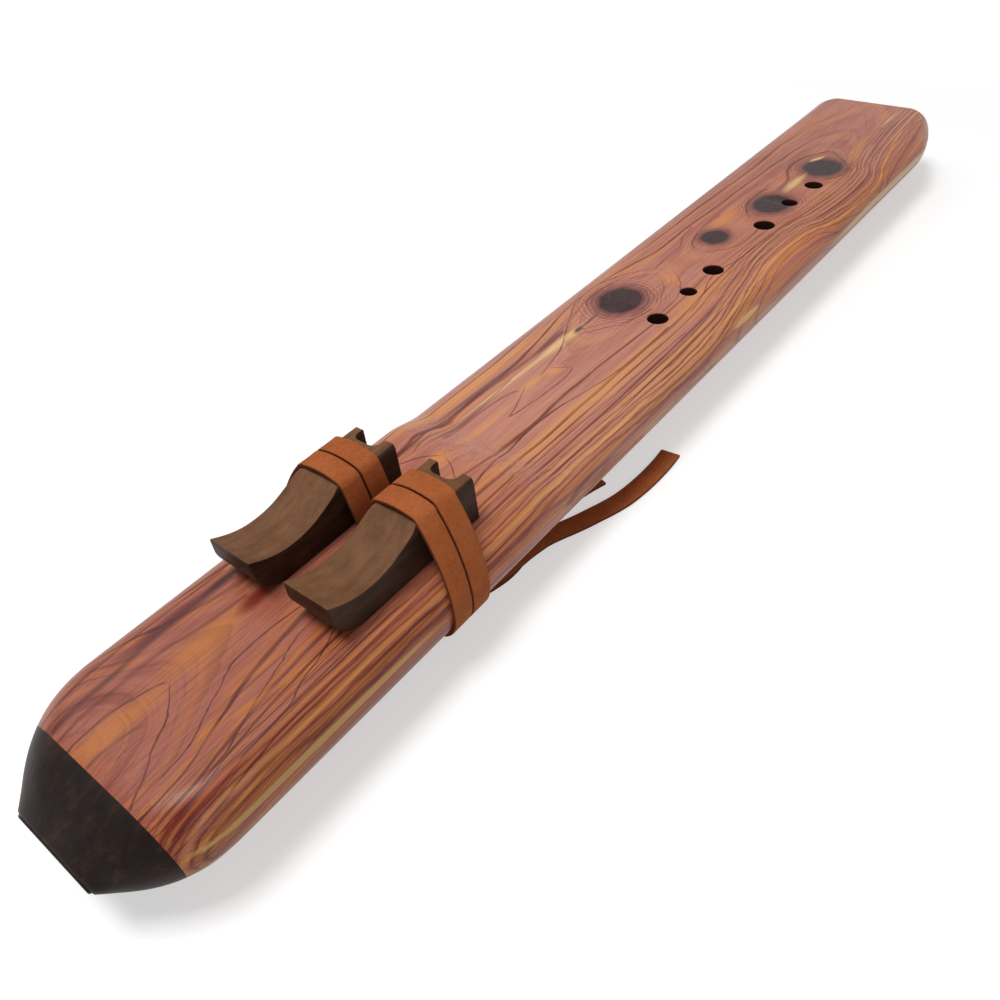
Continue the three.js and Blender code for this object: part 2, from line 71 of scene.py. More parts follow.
def add_lamp(name, place, width, power):
    """A square lamp that looks at the middle of the flute."""
    lamp_data = bpy.data.lights.new(name, "AREA")
    lamp_data.shape = "SQUARE"
    lamp_data.size = width
    lamp_data.energy = power
    lamp = bpy.data.objects.new(name, lamp_data)
    lamp.location = place
    lamp.rotation_euler = (-Vector(place)).to_track_quat("-Z", "Y").to_euler()
    bpy.context.scene.collection.objects.link(lamp)


add_lamp("overhead", (-0.35, 0.2, 1.4), 0.55, 14)
add_lamp("window", (-0.1, 1.0, 1.1), 0.8, 3.4)
add_lamp("reflector", (-0.5, -1.3, 0.8), 1.2, 5.5)


def node(tree, kind, sockets=None, **settings):
    """Adds a node, with each socket either joined to a reading or an output, or set to a value."""
    made = tree.nodes.new(kind)
    for name, value in settings.items():
        setattr(made, name, value)
    for key, value in (sockets or {}).items():
        if isinstance(value, Reading):
            value = value.socket
        if isinstance(value, bpy.types.NodeSocket):
            tree.links.new(value, made.inputs[key])
        else:
            made.inputs[key].default_value = value
    return made


def read(tree, kind, sockets=None, output=0, **settings):
    """Adds a node and takes the reading of one of its outputs."""
    return Reading(tree, node(tree, kind, sockets, **settings).outputs[output])


class Reading:
    """What one output of a node says. Sums written with readings become maths nodes."""

    def __init__(self, tree, socket):
        self.tree = tree
        self.socket = socket

    def math(self, operation, *others):
        return read(self.tree, "ShaderNodeMath", dict(enumerate((self, *others))), operation=operation)

    def __add__(self, other):
        return self.math("ADD", other)

    def __sub__(self, other):
        return self.math("SUBTRACT", other)

    def __mul__(self, other):
        return self.math("MULTIPLY", other)

    def __truediv__(self, other):
        return self.math("DIVIDE", other)

    def __abs__(self):
        return self.math("ABSOLUTE")

    def parts(self):
        """The readings of a vector's three parts."""
        outputs = node(self.tree, "ShaderNodeSeparateXYZ", {0: self}).outputs
        return [Reading(self.tree, output) for output in outputs]

    def swing(self, width):
        """A noise from 0 to 1, turned into one that swings about nought over a width."""
        return (self - 0.5) * width

    def fade(self, start, stop, first, last):
        """A value that runs from first to last while this one runs from start to stop."""
        sockets = {"Value": self, "From Min": start, "From Max": stop, "To Min": first, "To Max": last}
        return read(self.tree, "ShaderNodeMapRange", sockets)

    def ramp(self, *stops):
        """A colour ramp through stops, each a place and its colour or grey level."""
        made = node(self.tree, "ShaderNodeValToRGB", {0: self})
        spots = made.color_ramp.elements
        for i, (spot, colour) in enumerate(stops):
            element = spots[i] if i < 2 else spots.new(spot)
            element.position = spot
            element.color = colour if isinstance(colour, tuple) else (colour, colour, colour, 1)
        return Reading(self.tree, made.outputs[0])

    def covered(self, share, colour):
        """This colour with a share of another laid over it."""
        return read(self.tree, "ShaderNodeMix", {0: share, 6: self, 7: colour}, 2, data_type="RGBA")


def seen_white(tree, lift, level):
    """A strength of level that rises by lift where a camera, mirror or glass ray meets it."""
    ray = node(tree, "ShaderNodeLightPath").outputs
    straight = Reading(tree, ray["Is Camera Ray"]).math("MAXIMUM", ray["Is Glossy Ray"])
    return straight.math("MAXIMUM", ray["Is Transmission Ray"]) * lift + level


sky = bpy.data.worlds.new("sky")
sky.use_nodes = True
sky_tree = sky.node_tree
sky_tree.nodes.clear()
sky_strength = seen_white(sky_tree, 1 - sky_level, sky_level)
sky_light = read(sky_tree, "ShaderNodeBackground", {"Strength": sky_strength})
node(sky_tree, "ShaderNodeOutputWorld", {"Surface": sky_light})
bpy.context.scene.world = sky

floor_corners = [(x * floor_reach, y * floor_reach, 0) for x, y in ((-1, -1), (1, -1), (1, 1), (-1, 1))]
floor_mesh = bpy.data.meshes.new("floor")
floor_mesh.from_pydata(floor_corners, [], [(0, 1, 2, 3)])
floor = bpy.data.objects.new("floor", floor_mesh)
bpy.context.scene.collection.objects.link(floor)
paper = bpy.data.materials.new("white_paper")
paper.use_nodes = True
paper_tree = paper.node_tree
paper_tree.nodes.clear()
matt = read(paper_tree, "ShaderNodeBsdfDiffuse", {"Color": (floor_grey, floor_grey, floor_grey, 1)})
floor_spot = read(paper_tree, "ShaderNodeTexCoord", output="Object")
from_middle = read(paper_tree, "ShaderNodeVectorMath", {0: floor_spot}, "Value", operation="LENGTH")
glow = seen_white(paper_tree, floor_glow, 0) * from_middle.fade(*far_floor, 1, far_glow)
white = read(paper_tree, "ShaderNodeEmission", {"Strength": glow})
both = read(paper_tree, "ShaderNodeAddShader", {0: matt, 1: white})
node(paper_tree, "ShaderNodeOutputMaterial", {"Surface": both})
floor_mesh.materials.append(paper)

# The two loose ends of the right thong: flat strips of soft leather that leave the knot under the
# body, sink to the table and lie there in easy bends. They are cut square and end bare.
millimetre = 0.001
flute_length = 506
ground_height = 5.2
thong_width = 7.5
thong_thickness = 1.2
thong_edge = 0.4
thong_edge_steps = 3
leather_smooth_angle = 40
tail_steps = 60
route_parts = 12
knot_place = Vector((127.2103, -15.4232, -2.75))
knot_heading = Vector((0.855626, -0.517595, 0))
knot_reach = 3.9
stub_length = 1.6
seat_gap = 0.3
# Each point is a place along, a place across and a height above the table.
long_tail_points = [
    (143.6, -22.6, 2.4), (148.5, -22.7, 2.4), (153, -23.1, 2.4), (157.5, -23.8, 2.4),
    (162, -24.7, 2.3), (166.5, -26, 1.8), (171.5, -27.6, 1.1), (177, -29.6, 0.7),
    (182.5, -31.6, 0.61), (188, -33.6, 0.61), (193.5, -35.2, 0.61), (199.5, -36.2, 0.61),
    (206, -36.8, 0.61), (212.5, -37, 0.61), (218.5, -36.9, 0.61), (224.5, -36.4, 0.61),
]
short_tail_points = [
    (139.5, -21.1, 0.6), (143, -21.7, 0.6), (147, -21.8, 0.6), (151, -21.3, 0.6),
    (155, -20.4, 0.6), (159, -19.4, 0.6), (163, -18.6, 0.6), (167, -18, 0.6),
    (171, -17.7, 0.6), (175, -17.6, 0.6), (179, -17.8, 0.6), (184, -18.5, 0.6),
    (188, -19.3, 0.6), (192, -20.2, 0.6), (195.5, -21.2, 0.6), (199, -22.3, 0.6),
]


def to_frame(point):
    """A point in millimetres from the mouth end and the flat underside, in the frame's metres."""
    return (Vector(point) + Vector((-flute_length / 2, 0, ground_height))) * millimetre


def smooth_route(points, steps):
    """Evenly spaced points on a curve through the given ones, with its speed set by their gaps."""
    ends = [2 * points[0] - points[1], *points, 2 * points[-1] - points[-2]]
    dense = []
    for i in range(1, len(ends) - 2):
        stretch = ends[i - 1 : i + 3]
        knots = [0.0]
        for a, b in zip(stretch, stretch[1:]):
            knots.append(knots[-1] + max((b - a).length, 1e-9) ** 0.5)
        for part in range(route_parts):
            t = knots[1] + (knots[2] - knots[1]) * part / route_parts
            level = list(stretch)
            for span in (1, 2, 3):
                for j in range(len(level) - 1):
                    low, high = (knots[1], knots[2]) if span == 3 else (knots[j], knots[j + span])
                    level[j] = level[j].lerp(level[j + 1], (t - low) / (high - low))
                level.pop()
            dense.append(level[0])
    dense.append(points[-1])
    runs = [0.0]
    for a, b in zip(dense, dense[1:]):
        runs.append(runs[-1] + (b - a).length)
    spaced = []
    j = 0
    for i in range(steps + 1):
        run = runs[-1] * i / steps
        while j < len(runs) - 2 and runs[j + 1] < run:
            j += 1
        spaced.append(dense[j].lerp(dense[j + 1], (run - runs[j]) / (runs[j + 1] - runs[j])))
    return spaced


def strip_tree():
    """Geometry Nodes for a leather strip: a flat profile with broken edges, swept along a line
    whose points carry the direction in which the strip's face looks."""
    tree = bpy.data.node_groups.new("leather_strip", "GeometryNodeTree")
    faces = tree.interface
    faces.new_socket("Line", in_out="INPUT", socket_type="NodeSocketGeometry")
    sizes = {"Width": thong_width, "Thickness": thong_thickness, "Edge Radius": thong_edge}
    for name, value in sizes.items():
        socket = faces.new_socket(name, in_out="INPUT", socket_type="NodeSocketFloat")
        socket.default_value = value * millimetre
    faces.new_socket("Leather", in_out="INPUT", socket_type="NodeSocketMaterial")
    faces.new_socket("Strip", in_out="OUTPUT", socket_type="NodeSocketGeometry")
    given = node(tree, "NodeGroupInput").outputs
    line = read(tree, "GeometryNodeMeshToCurve", {"Mesh": given["Line"]})
    named = {"Name": "face"}
    looks = read(tree, "GeometryNodeInputNamedAttribute", named, "Attribute", data_type="FLOAT_VECTOR")
    turned = read(tree, "GeometryNodeSetCurveNormal", {"Curve": line, "Normal": looks}, mode="FREE")
    sides = {"Width": given["Thickness"], "Height": given["Width"]}
    flat = read(tree, "GeometryNodeCurvePrimitiveQuadrilateral", sides)
    rounded = node(tree, "GeometryNodeFilletCurve", {"Curve": flat, "Radius": given["Edge Radius"]})
    rounded.mode = "POLY"
    rounded.inputs["Count"].default_value = thong_edge_steps
    spot = read(tree, "GeometryNodeInputPosition")
    across = node(tree, "GeometryNodeCaptureAttribute", domain="POINT")
    across.capture_items.new("FLOAT", "Across")
    tree.links.new(rounded.outputs[0], across.inputs["Geometry"])
    tree.links.new(spot.parts()[1].socket, across.inputs["Across"])
    swept = {"Curve": turned, "Profile Curve": across.outputs["Geometry"], "Fill Caps": True}
    mesh = read(tree, "GeometryNodeCurveToMesh", swept)
    kept = {"Geometry": mesh, "Name": "across", "Value": across.outputs["Across"]}
    mesh = read(tree, "GeometryNodeStoreNamedAttribute", kept, data_type="FLOAT", domain="POINT")
    real = read(tree, "GeometryNodeRealizeInstances", {"Geometry": mesh})
    dressed = read(tree, "GeometryNodeSetMaterial", {"Geometry": real, "Material": given["Leather"]})
    node(tree, "NodeGroupOutput", {"Strip": dressed})
    return tree


leather_strip = strip_tree()


def paint(red, green, blue):
    """A colour as it looks on a screen, from 0 to 255, in linear light."""
    linear = [((c / 255 + 0.055) / 1.055) ** 2.4 if c > 10 else c / 255 / 12.92 for c in (red, green, blue)]
    return (*linear, 1)


def new_material(name, **shine):
    """A material, its node tree and its Principled shader, with plain values on the shader."""
    material = bpy.data.materials.new(name)
    material.use_nodes = True
    tree = material.node_tree
    tree.nodes.clear()
    values = {key.replace("_", " "): value for key, value in shine.items()}
    surface = node(tree, "ShaderNodeBsdfPrincipled", values)
    node(tree, "ShaderNodeOutputMaterial", {"Surface": surface.outputs[0]})
    return material, tree, surface


def finish_surface(surface, colour, relief, strength, depth=0.0001):
    """Gives a shader its colour and a fine relief, whose depth is in metres."""
    tree = colour.tree
    bump = node(tree, "ShaderNodeBump", {"Height": relief, "Strength": strength, "Distance": depth})
    tree.links.new(colour.socket, surface.inputs["Base Color"])
    tree.links.new(bump.outputs[0], surface.inputs["Normal"])


def object_place(tree, scale=(1000, 1000, 1000), shift=(0, 0, 0)):
    """Object coordinates in millimetres, or by another scale, and shifted."""
    source = read(tree, "ShaderNodeTexCoord", output="Object")
    return read(tree, "ShaderNodeMapping", {"Vector": source, "Scale": scale, "Location": shift})


def noise(place, scale, detail, roughness=0.5, distortion=0.0, sort="3D"):
    """Cloudy noise at a place, or along a single value where the sort is 1D."""
    sockets = {"W" if sort == "1D" else "Vector": place, "Scale": scale, "Detail": detail}
    sockets |= {"Roughness": roughness, "Distortion": distortion}
    return read(place.tree, "ShaderNodeTexNoise", sockets, noise_dimensions=sort)


def leather_material():
    """Tan suede: soft mottling, a short nap, and darker, browner cut edges."""
    shine = {"Roughness": 0.85, "Specular_IOR_Level": 0.15}
    shine |= {"Sheen_Weight": 0.12, "Sheen_Roughness": 0.5, "Sheen_Tint": paint(235, 175, 125)}
    material, tree, surface = new_material("tan_leather", **shine)
    place = object_place(tree)
    clouds = noise(place, 0.12, 3, 0.6)
    mottle = noise(place, 1.1, 4, 0.65)
    nap = noise(place, 5.5, 3, 0.8)
    tone = mottle * 0.6 + clouds * 0.4
    colour = tone.ramp(
        (0.3, paint(143, 73, 35)),
        (0.45, paint(157, 84, 43)),
        (0.57, paint(168, 93, 50)),
        (0.72, paint(181, 106, 60)),
    )
    colour = colour.covered(nap * 0.28, paint(148, 76, 38))
    across = read(tree, "ShaderNodeAttribute", output="Fac", attribute_name="across")
    to_edge = abs(across) * (2 / (thong_width * millimetre))
    colour = colour.covered(to_edge.ramp((0.9, 0.0), (0.965, 0.35), (0.995, 1.0)), paint(84, 36, 20))
    finish_surface(surface, colour, nap * 0.6 + mottle, 0.35, 0.00015)
    return material


tan_leather = leather_material()


def add_object(name, mesh):
    piece = bpy.data.objects.new(name, mesh)
    bpy.context.scene.collection.objects.link(piece)
    return piece


def plain_mesh(source):
    """What an object's modifiers make of it, as a mesh of its own."""
    ready = source.evaluated_get(bpy.context.evaluated_depsgraph_get())
    mesh = bpy.data.meshes.new_from_object(ready)
    source.modifiers.clear()
    return mesh


def smooth_shade(mesh, smooth_angle):
    for polygon in mesh.polygons:
        polygon.use_smooth = True
    mesh.set_sharp_from_angle(angle=math.radians(smooth_angle))


def place_piece(piece, cad_node, body, slot):
    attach(piece, body)
    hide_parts(cad_node)


def leather_piece(name, places, faces):
    """Sweeps the leather strip along places, in millimetres, its face looking along faces."""
    line = bpy.data.meshes.new(name + "_line")
    edges = [(i, i + 1) for i in range(len(places) - 1)]
    line.from_pydata([to_frame(place) for place in places], edges, [])
    attribute = line.attributes.new("face", "FLOAT_VECTOR", "POINT")
    for i, face in enumerate(faces):
        ahead = (places[min(len(places) - 1, i + 1)] - places[max(0, i - 1)]).normalized()
        attribute.data[i].vector = (face - face.dot(ahead) * ahead).normalized()
    source = add_object(name + "_line", line)
    modifier = source.modifiers.new("strip", "NODES")
    modifier.node_group = leather_strip
    for item in leather_strip.interface.items_tree:
        if item.in_out == "INPUT" and item.name == "Leather":
            modifier[item.identifier] = tan_leather
    mesh = plain_mesh(source)
    bpy.data.objects.remove(source)
    smooth_shade(mesh, leather_smooth_angle)
    return add_object(name, mesh)


def lay_tail(name, start, points):
    straight = start + knot_heading * thong_width / 2
    route = [Vector((x, y, height - ground_height)) for x, y, height in points]
    places = smooth_route([start, straight, *route], tail_steps)
    piece = leather_piece(name + "_strip", places, [Vector((0, 0, 1))] * len(places))
    place_piece(piece, name, "flute_body", "leather")
    path = [to_frame(place) for place in places]


long_start = knot_place + knot_heading * (knot_reach + stub_length + seat_gap)
short_start = knot_place + knot_heading * (knot_reach + seat_gap)
short_start.z = thong_thickness / 2 - ground_height
lay_tail("long_tail", long_start, long_tail_points)
lay_tail("short_tail", short_start, short_tail_points)

# The body: two boards of aromatic red cedar, hollowed, glued face to face and carved to a round
# barrel pair, with a dark walnut tip glued across the mouth end. Sizes are those of the frame.
body_width = 70
nest_height = 28.5
barrel_height = 24.8
tip_length = 16.5
nose_length = 34
mouth_edge = 0.6
ramp_start = 151.5
ramp_length = 18
seam_height = 13
side_height = 17.5
bottom_corner_width = 24
foot_length = 40
foot_edge_radius = 2.6
full_shares = {"top": 22 / 70, "bottom": 48 / 70}
oval_shares = {"top": 0.8, "bottom": 0.9, "middle": 0.45}
# How far along the nose, then half width, underside and top as shares, and how oval it is.
nose_shares = [
    (0, 0.463, 0.347, 0.614, 1),
    (0.118, 0.589, 0.246, 0.723, 0.92),
    (0.235, 0.714, 0.168, 0.818, 0.8),
    (0.353, 0.817, 0.105, 0.891, 0.66),
    (0.485, 0.9, 0.056, 0.951, 0.5),
    (0.647, 0.965, 0.021, 0.984, 0.3),
    (0.824, 0.993, 0.0035, 0.998, 0.1),
    (1, 1, 0, 1, 0),
]
# How far along the foot, then how much the left and the right side are drawn in, and how much of
# the end's rounded edge is reached.
foot_shares = [
    (0, 0, 0, 0),
    (0.12, 0, 0.008, 0),
    (0.24, 0, 0.03, 0),
    (0.36, 0, 0.061, 0),
    (0.48, 0, 0.097, 0),
    (0.6, 0, 0.142, 0),
    (0.72, 0, 0.191, 0),
    (0.8, 0, 0.229, 0),
    (0.86, 0.007, 0.26, 0),
    (0.905, 0.03, 0.292, 0),
    (0.94, 0.064, 0.332, 0.01),
    (0.965, 0.102, 0.372, 0.12),
    (0.985, 0.15, 0.416, 0.37),
    (0.996, 0.193, 0.455, 0.65),
    (1, 0.229, 0.497, 1),
]
corner_steps = 16
nose_steps = 40
ramp_steps = 20
plain_steps = 24
foot_steps = 5
edge_steps = 6
turned_sides = 48
overrun = 5


def section_ring(x, half_width, bottom, top, oval=0, shift=0.0):
    """One section of the body: flat above and below where it is full, oval at the mouth."""

    def corner_width(name):
        return half_width * (full_shares[name] + (oval_shares[name] - full_shares[name]) * oval)

    middle = side_height + (bottom + (top - bottom) * oval_shares["middle"] - side_height) * oval
    upper, lower = (corner_width("top"), top - middle), (corner_width("bottom"), middle - bottom)
    corners = [(1, *upper), (-1, *upper), (-1, *lower), (1, *lower)]
    ring = []
    for quarter, (side, width, height) in enumerate(corners):
        points = []
        for i in range(corner_steps + 1):
            angle = (quarter + i / corner_steps) * math.pi / 2
            y = shift + side * (half_width - width) + width * math.cos(angle)
            points.append((x, y, middle + height * math.sin(angle)))
        if quarter % 2:
            points.pop()
        elif quarter:
            points.pop(0)
        ring.extend(points)
    return ring


def eased(table, place):
    """A table's values at a place between its rows, on a smooth curve that hardly overshoots."""
    i = max(j for j in range(len(table) - 1) if table[j][0] <= place + 1e-9)
    step = table[i + 1][0] - table[i][0]
    share = (place - table[i][0]) / step

    def leans(j):
        before, after = table[max(0, j - 1)], table[min(len(table) - 1, j + 1)]
        return [(b - a) / (after[0] - before[0]) * step for a, b in zip(before, after)]

    columns = list(zip(table[i], table[i + 1], leans(i), leans(i + 1)))
    return [
        (2 * share**3 - 3 * share**2 + 1) * a
        + (share**3 - 2 * share**2 + share) * lean_a
        + (3 * share**2 - 2 * share**3) * b
        + (share**3 - share**2) * lean_b
        for a, b, lean_a, lean_b in columns[1:]
    ]


def quarter_round(radius, steps):
    """Points of a rounded edge: how far each has come along and how much it is still drawn in."""
    turns = [k / steps * math.pi / 2 for k in range(steps + 1)]
    return [(radius * (1 - math.cos(turn)), radius * (1 - math.sin(turn))) for turn in turns]


def foot_ring(along):
    """A section of the foot, whose left and right corners are drawn in by different amounts."""
    left, right, rounded = eased(foot_shares, along)
    half = body_width / 2
    edge = foot_edge_radius * max(0.0, rounded)
    x = flute_length - foot_length * (1 - along)
    half_width = half * (1 - (left + right) / 2)
    return section_ring(x, half_width, edge, barrel_height - edge, shift=half * (right - left) / 2)


def body_rings():
    """Sections from the mouth to the foot: edge and nose, nest, ramp, barrels and foot."""
    half = body_width / 2
    wide, low, high, oval = nose_shares[0][1:]
    rings = []
    for x, inset in quarter_round(mouth_edge, edge_steps):
        bottom, top = low * nest_height + inset, high * nest_height - inset
        rings.append(section_ring(x, wide * half - inset, bottom, top, oval))
    for i in range(1, nose_steps + 1):
        along = i / nose_steps
        wide, low, high, oval = eased(nose_shares, along)
        bottom, top = low * nest_height, high * nest_height
        rings.append(section_ring(along * nose_length, wide * half, bottom, top, oval))
    for i in range(1, plain_steps):
        x = nose_length + (ramp_start - nose_length) * i / plain_steps
        rings.append(section_ring(x, half, 0, nest_height))
    for i in range(ramp_steps + 1):
        share = i / ramp_steps
        top = nest_height - share * share * (3 - 2 * share) * (nest_height - barrel_height)
        rings.append(section_ring(ramp_start + share * ramp_length, half, 0, top))
    ramp_end = ramp_start + ramp_length
    foot_start = flute_length - foot_length
    for i in range(1, 2 * plain_steps):
        x = ramp_end + (foot_start - ramp_end) * i / (2 * plain_steps)
        rings.append(section_ring(x, half, 0, barrel_height))
    for row, after in zip(foot_shares, foot_shares[1:]):
        for k in range(foot_steps):
            rings.append(foot_ring(row[0] + (after[0] - row[0]) * k / foot_steps))
    rings.append(foot_ring(1))
    return rings


def loft(name, rings):
    """A closed mesh through rings with the same number of points, in the frame's metres."""
    count = len(rings[0])
    points = [to_frame(point) for ring in rings for point in ring]
    faces = []
    for i in range(len(rings) - 1):
        for k in range(count):
            a, b = i * count + k, i * count + (k + 1) % count
            faces.append((a, b, b + count, a + count))
    faces.append(tuple(reversed(range(count))))
    faces.append(tuple(range((len(rings) - 1) * count, len(rings) * count)))
    mesh = bpy.data.meshes.new(name)
    mesh.from_pydata(points, [], faces)
    return mesh


def outward(mesh, merge=0.0):
    """Turns a mesh's faces outwards, after merging points closer than a distance in metres."""
    bm = bmesh.new()
    bm.from_mesh(mesh)
    if merge:
        bmesh.ops.remove_doubles(bm, verts=bm.verts, dist=merge)
    bmesh.ops.recalc_face_normals(bm, faces=bm.faces)
    bm.to_mesh(mesh)
    bm.free()
    return mesh


def cutter(rings):
    return add_object("cutter", outward(loft("cutter", rings)))


def box_cutter(low, high):
    low, high = to_frame(low), to_frame(high)
    mesh = bpy.data.meshes.new("cutter")
    bm = bmesh.new()
    bmesh.ops.create_cube(bm, size=1)
    for vertex in bm.verts:
        vertex.co = (low + high) / 2 + vertex.co * (high - low)
    bm.to_mesh(mesh)
    bm.free()
    return add_object("cutter", mesh)


def turned_cutter(profile, centre, axis):
    """A solid of revolution: profile holds (distance along the axis, radius), in millimetres."""
    centre, axis, aside = Vector(centre), Vector(axis), Vector((0, 1, 0))
    upward = axis.cross(aside)
    turns = [2 * math.pi * k / turned_sides for k in range(turned_sides)]
    outs = [aside * math.cos(turn) + upward * math.sin(turn) for turn in turns]
    return cutter([[centre + axis * run + out * radius for out in outs] for run, radius in profile])


def cut(piece, cutters, operation="DIFFERENCE"):
    """Cuts or trims a piece by each cutter in turn, and removes the cutters."""
    for tool in cutters:
        modifier = piece.modifiers.new("cut", "BOOLEAN")
        modifier.operation = operation
        modifier.object = tool
        modifier.solver = "MANIFOLD"
    piece.data = plain_mesh(piece)
    for tool in cutters:
        bpy.data.objects.remove(tool)


# The hollow of each barrel: a thin breath hole, an air chamber, a windway cut from the nest, and
# the sound chamber. The barrels are alike, but the left one's cuts sit a little nearer the mouth.
bore_radius = 8.75
bore_offset = 13
breath_hole_radius = 2.25
breath_hole_offset = 9
air_chamber = (30, 101.3)
sound_chamber_start = 127
windway_width = 8
windway_start = 94
windway_exit_length = 5
flue_depth = 0.9
sound_hole_start = 129.8
sound_hole_length = 5.1
block_offset = 15
left_lead = 1
slot_half_width = 2.6
slot_start = 109.8
slot_end = 130


def hollow_cutters():
    cutters = []
    for side, lead in ((1, left_lead), (-1, 0)):
        y = side * bore_offset
        for start, stop, across, radius in (
            (-overrun, air_chamber[0] + overrun, side * breath_hole_offset, breath_hole_radius),
            (*air_chamber, y, bore_radius),
            (sound_chamber_start, flute_length + overrun, y, bore_radius),
        ):
            profile = [(start, radius), (stop, radius)]
            cutters.append(turned_cutter(profile, (0, across, seam_height), (1, 0, 0)))
        low_y = side * block_offset - windway_width / 2
        high_y = low_y + windway_width
        hole = sound_hole_start - lead
        for start, stop, depth in (
            (windway_start, windway_start + windway_exit_length, nest_height - seam_height),
            (windway_start, hole + sound_hole_length, flue_depth),
            (hole, hole + sound_hole_length, nest_height - seam_height),
        ):
            low = (start, low_y, nest_height - depth)
            cutters.append(box_cutter(low, (stop, high_y, nest_height + overrun)))
    low = (slot_start, -slot_half_width, -overrun)
    cutters.append(box_cutter(low, (slot_end, slot_half_width, nest_height + overrun)))
    return cutters


# Six finger holes over the right barrel, drilled down into the bore, their rims just broken. Each
# is a place along and a width.
finger_hole_line = -8.4
finger_holes = [(260.6, 8.2), (283.9, 6.8), (303.8, 8.5), (349, 9.05), (373.9, 7), (395.7, 8.2)]
last_hole_shift = -1.5
rim_radius = 0.35
rim_steps = 4


def finger_hole_cutters():
    cutters = []
    depth = barrel_height - seam_height
    for i, (place, width) in enumerate(finger_holes):
        radius = width / 2
        profile = [(0, radius)]
        for out, drop in quarter_round(rim_radius, rim_steps):
            profile.append((depth - drop, radius + out))
        profile.append((depth + overrun, radius + rim_radius))
        y = finger_hole_line + (last_hole_shift if i == len(finger_holes) - 1 else 0)
        cutters.append(turned_cutter(profile, (place, y, seam_height), (0, 0, 1)))
    return cutters


# Red cedar's figure: growth rings about a pith line that runs above the board, so that a plane
# face shows long flames and the rounded sides show close parallel lines. Four knots push the
# rings aside. Sapwood, bark and resin leave streaks of their own in places.
ring_width = 0.8
# The pith line, as places along with its height above the nest, and with its place across.
log_rise = [
    (0, 26), (17, 31), (30, 34), (43, 37.5), (60, 40), (85, 41.5), (150, 41),
    (171, 37.6), (200, 38), (300, 39), (420, 39), (450, 39.5), (480, 41), (506, 42.5),
]
log_drift = [
    (0, 9), (43, 6), (100, 5), (150, 5), (200, 6), (250, 7), (330, 4), (400, 2), (440, 4), (506, 4),
]
dark_ring_radii = (43.1, 46.6, 48.3, 51.4, 54.0)
cedar_knots = [
    {"place": (264.7, 11.3), "size": (9.6, 8.4), "turn": -3, "reach": (17, 10), "push": 16.5},
    {"place": (329.1, 4.7), "size": (6.0, 5.4), "turn": 0, "reach": (13, 8), "push": 11},
    {"place": (369.3, -2.0), "size": (9.0, 7.4), "turn": -4, "reach": (15, 9), "push": 14.3},
    {"place": (415.0, -5.6), "size": (9.3, 8.2), "turn": -4, "reach": (16, 9), "push": 16.5},
]
# How the rings near the right edge run across the top, as the knots push them, and where they
# would run without knots.
right_flow = [
    (0, -26), (80, -26.5), (150, -26.5), (170, -25), (206, -26), (253, -27), (303, -20.5),
    (325, -17), (350, -18), (370, -23), (410, -25), (430, -20), (450, -17), (506, -14),
]
straight_flow = -26
# The wood is deepest in colour at the nose and palest past the ramp. Its colour is also richest at the
# nose, and palest along the middle of the flute.
depth_of_colour = [
    (0, 0.78), (80, 0.83), (130, 0.97), (175, 1.0), (250, 0.98), (330, 0.98), (420, 0.95), (506, 0.94),
]
richness = [
    (0, 1.2), (80, 1.19), (125, 1.14), (175, 0.99), (255, 1.0), (330, 1.08), (420, 1.1), (506, 1.06),
]
paleness = [(0, 0), (125, 0.01), (175, 0.1), (255, 0.09), (330, 0.04), (420, 0.03), (506, 0.06)]
cream = paint(222, 182, 124)
amber = paint(212, 140, 74)
tan = paint(218, 162, 106)
bark = paint(58, 34, 26)
plum = paint(98, 44, 44)
rust = paint(96, 34, 22)
dusk = paint(96, 40, 44)
haze = paint(124, 70, 54)
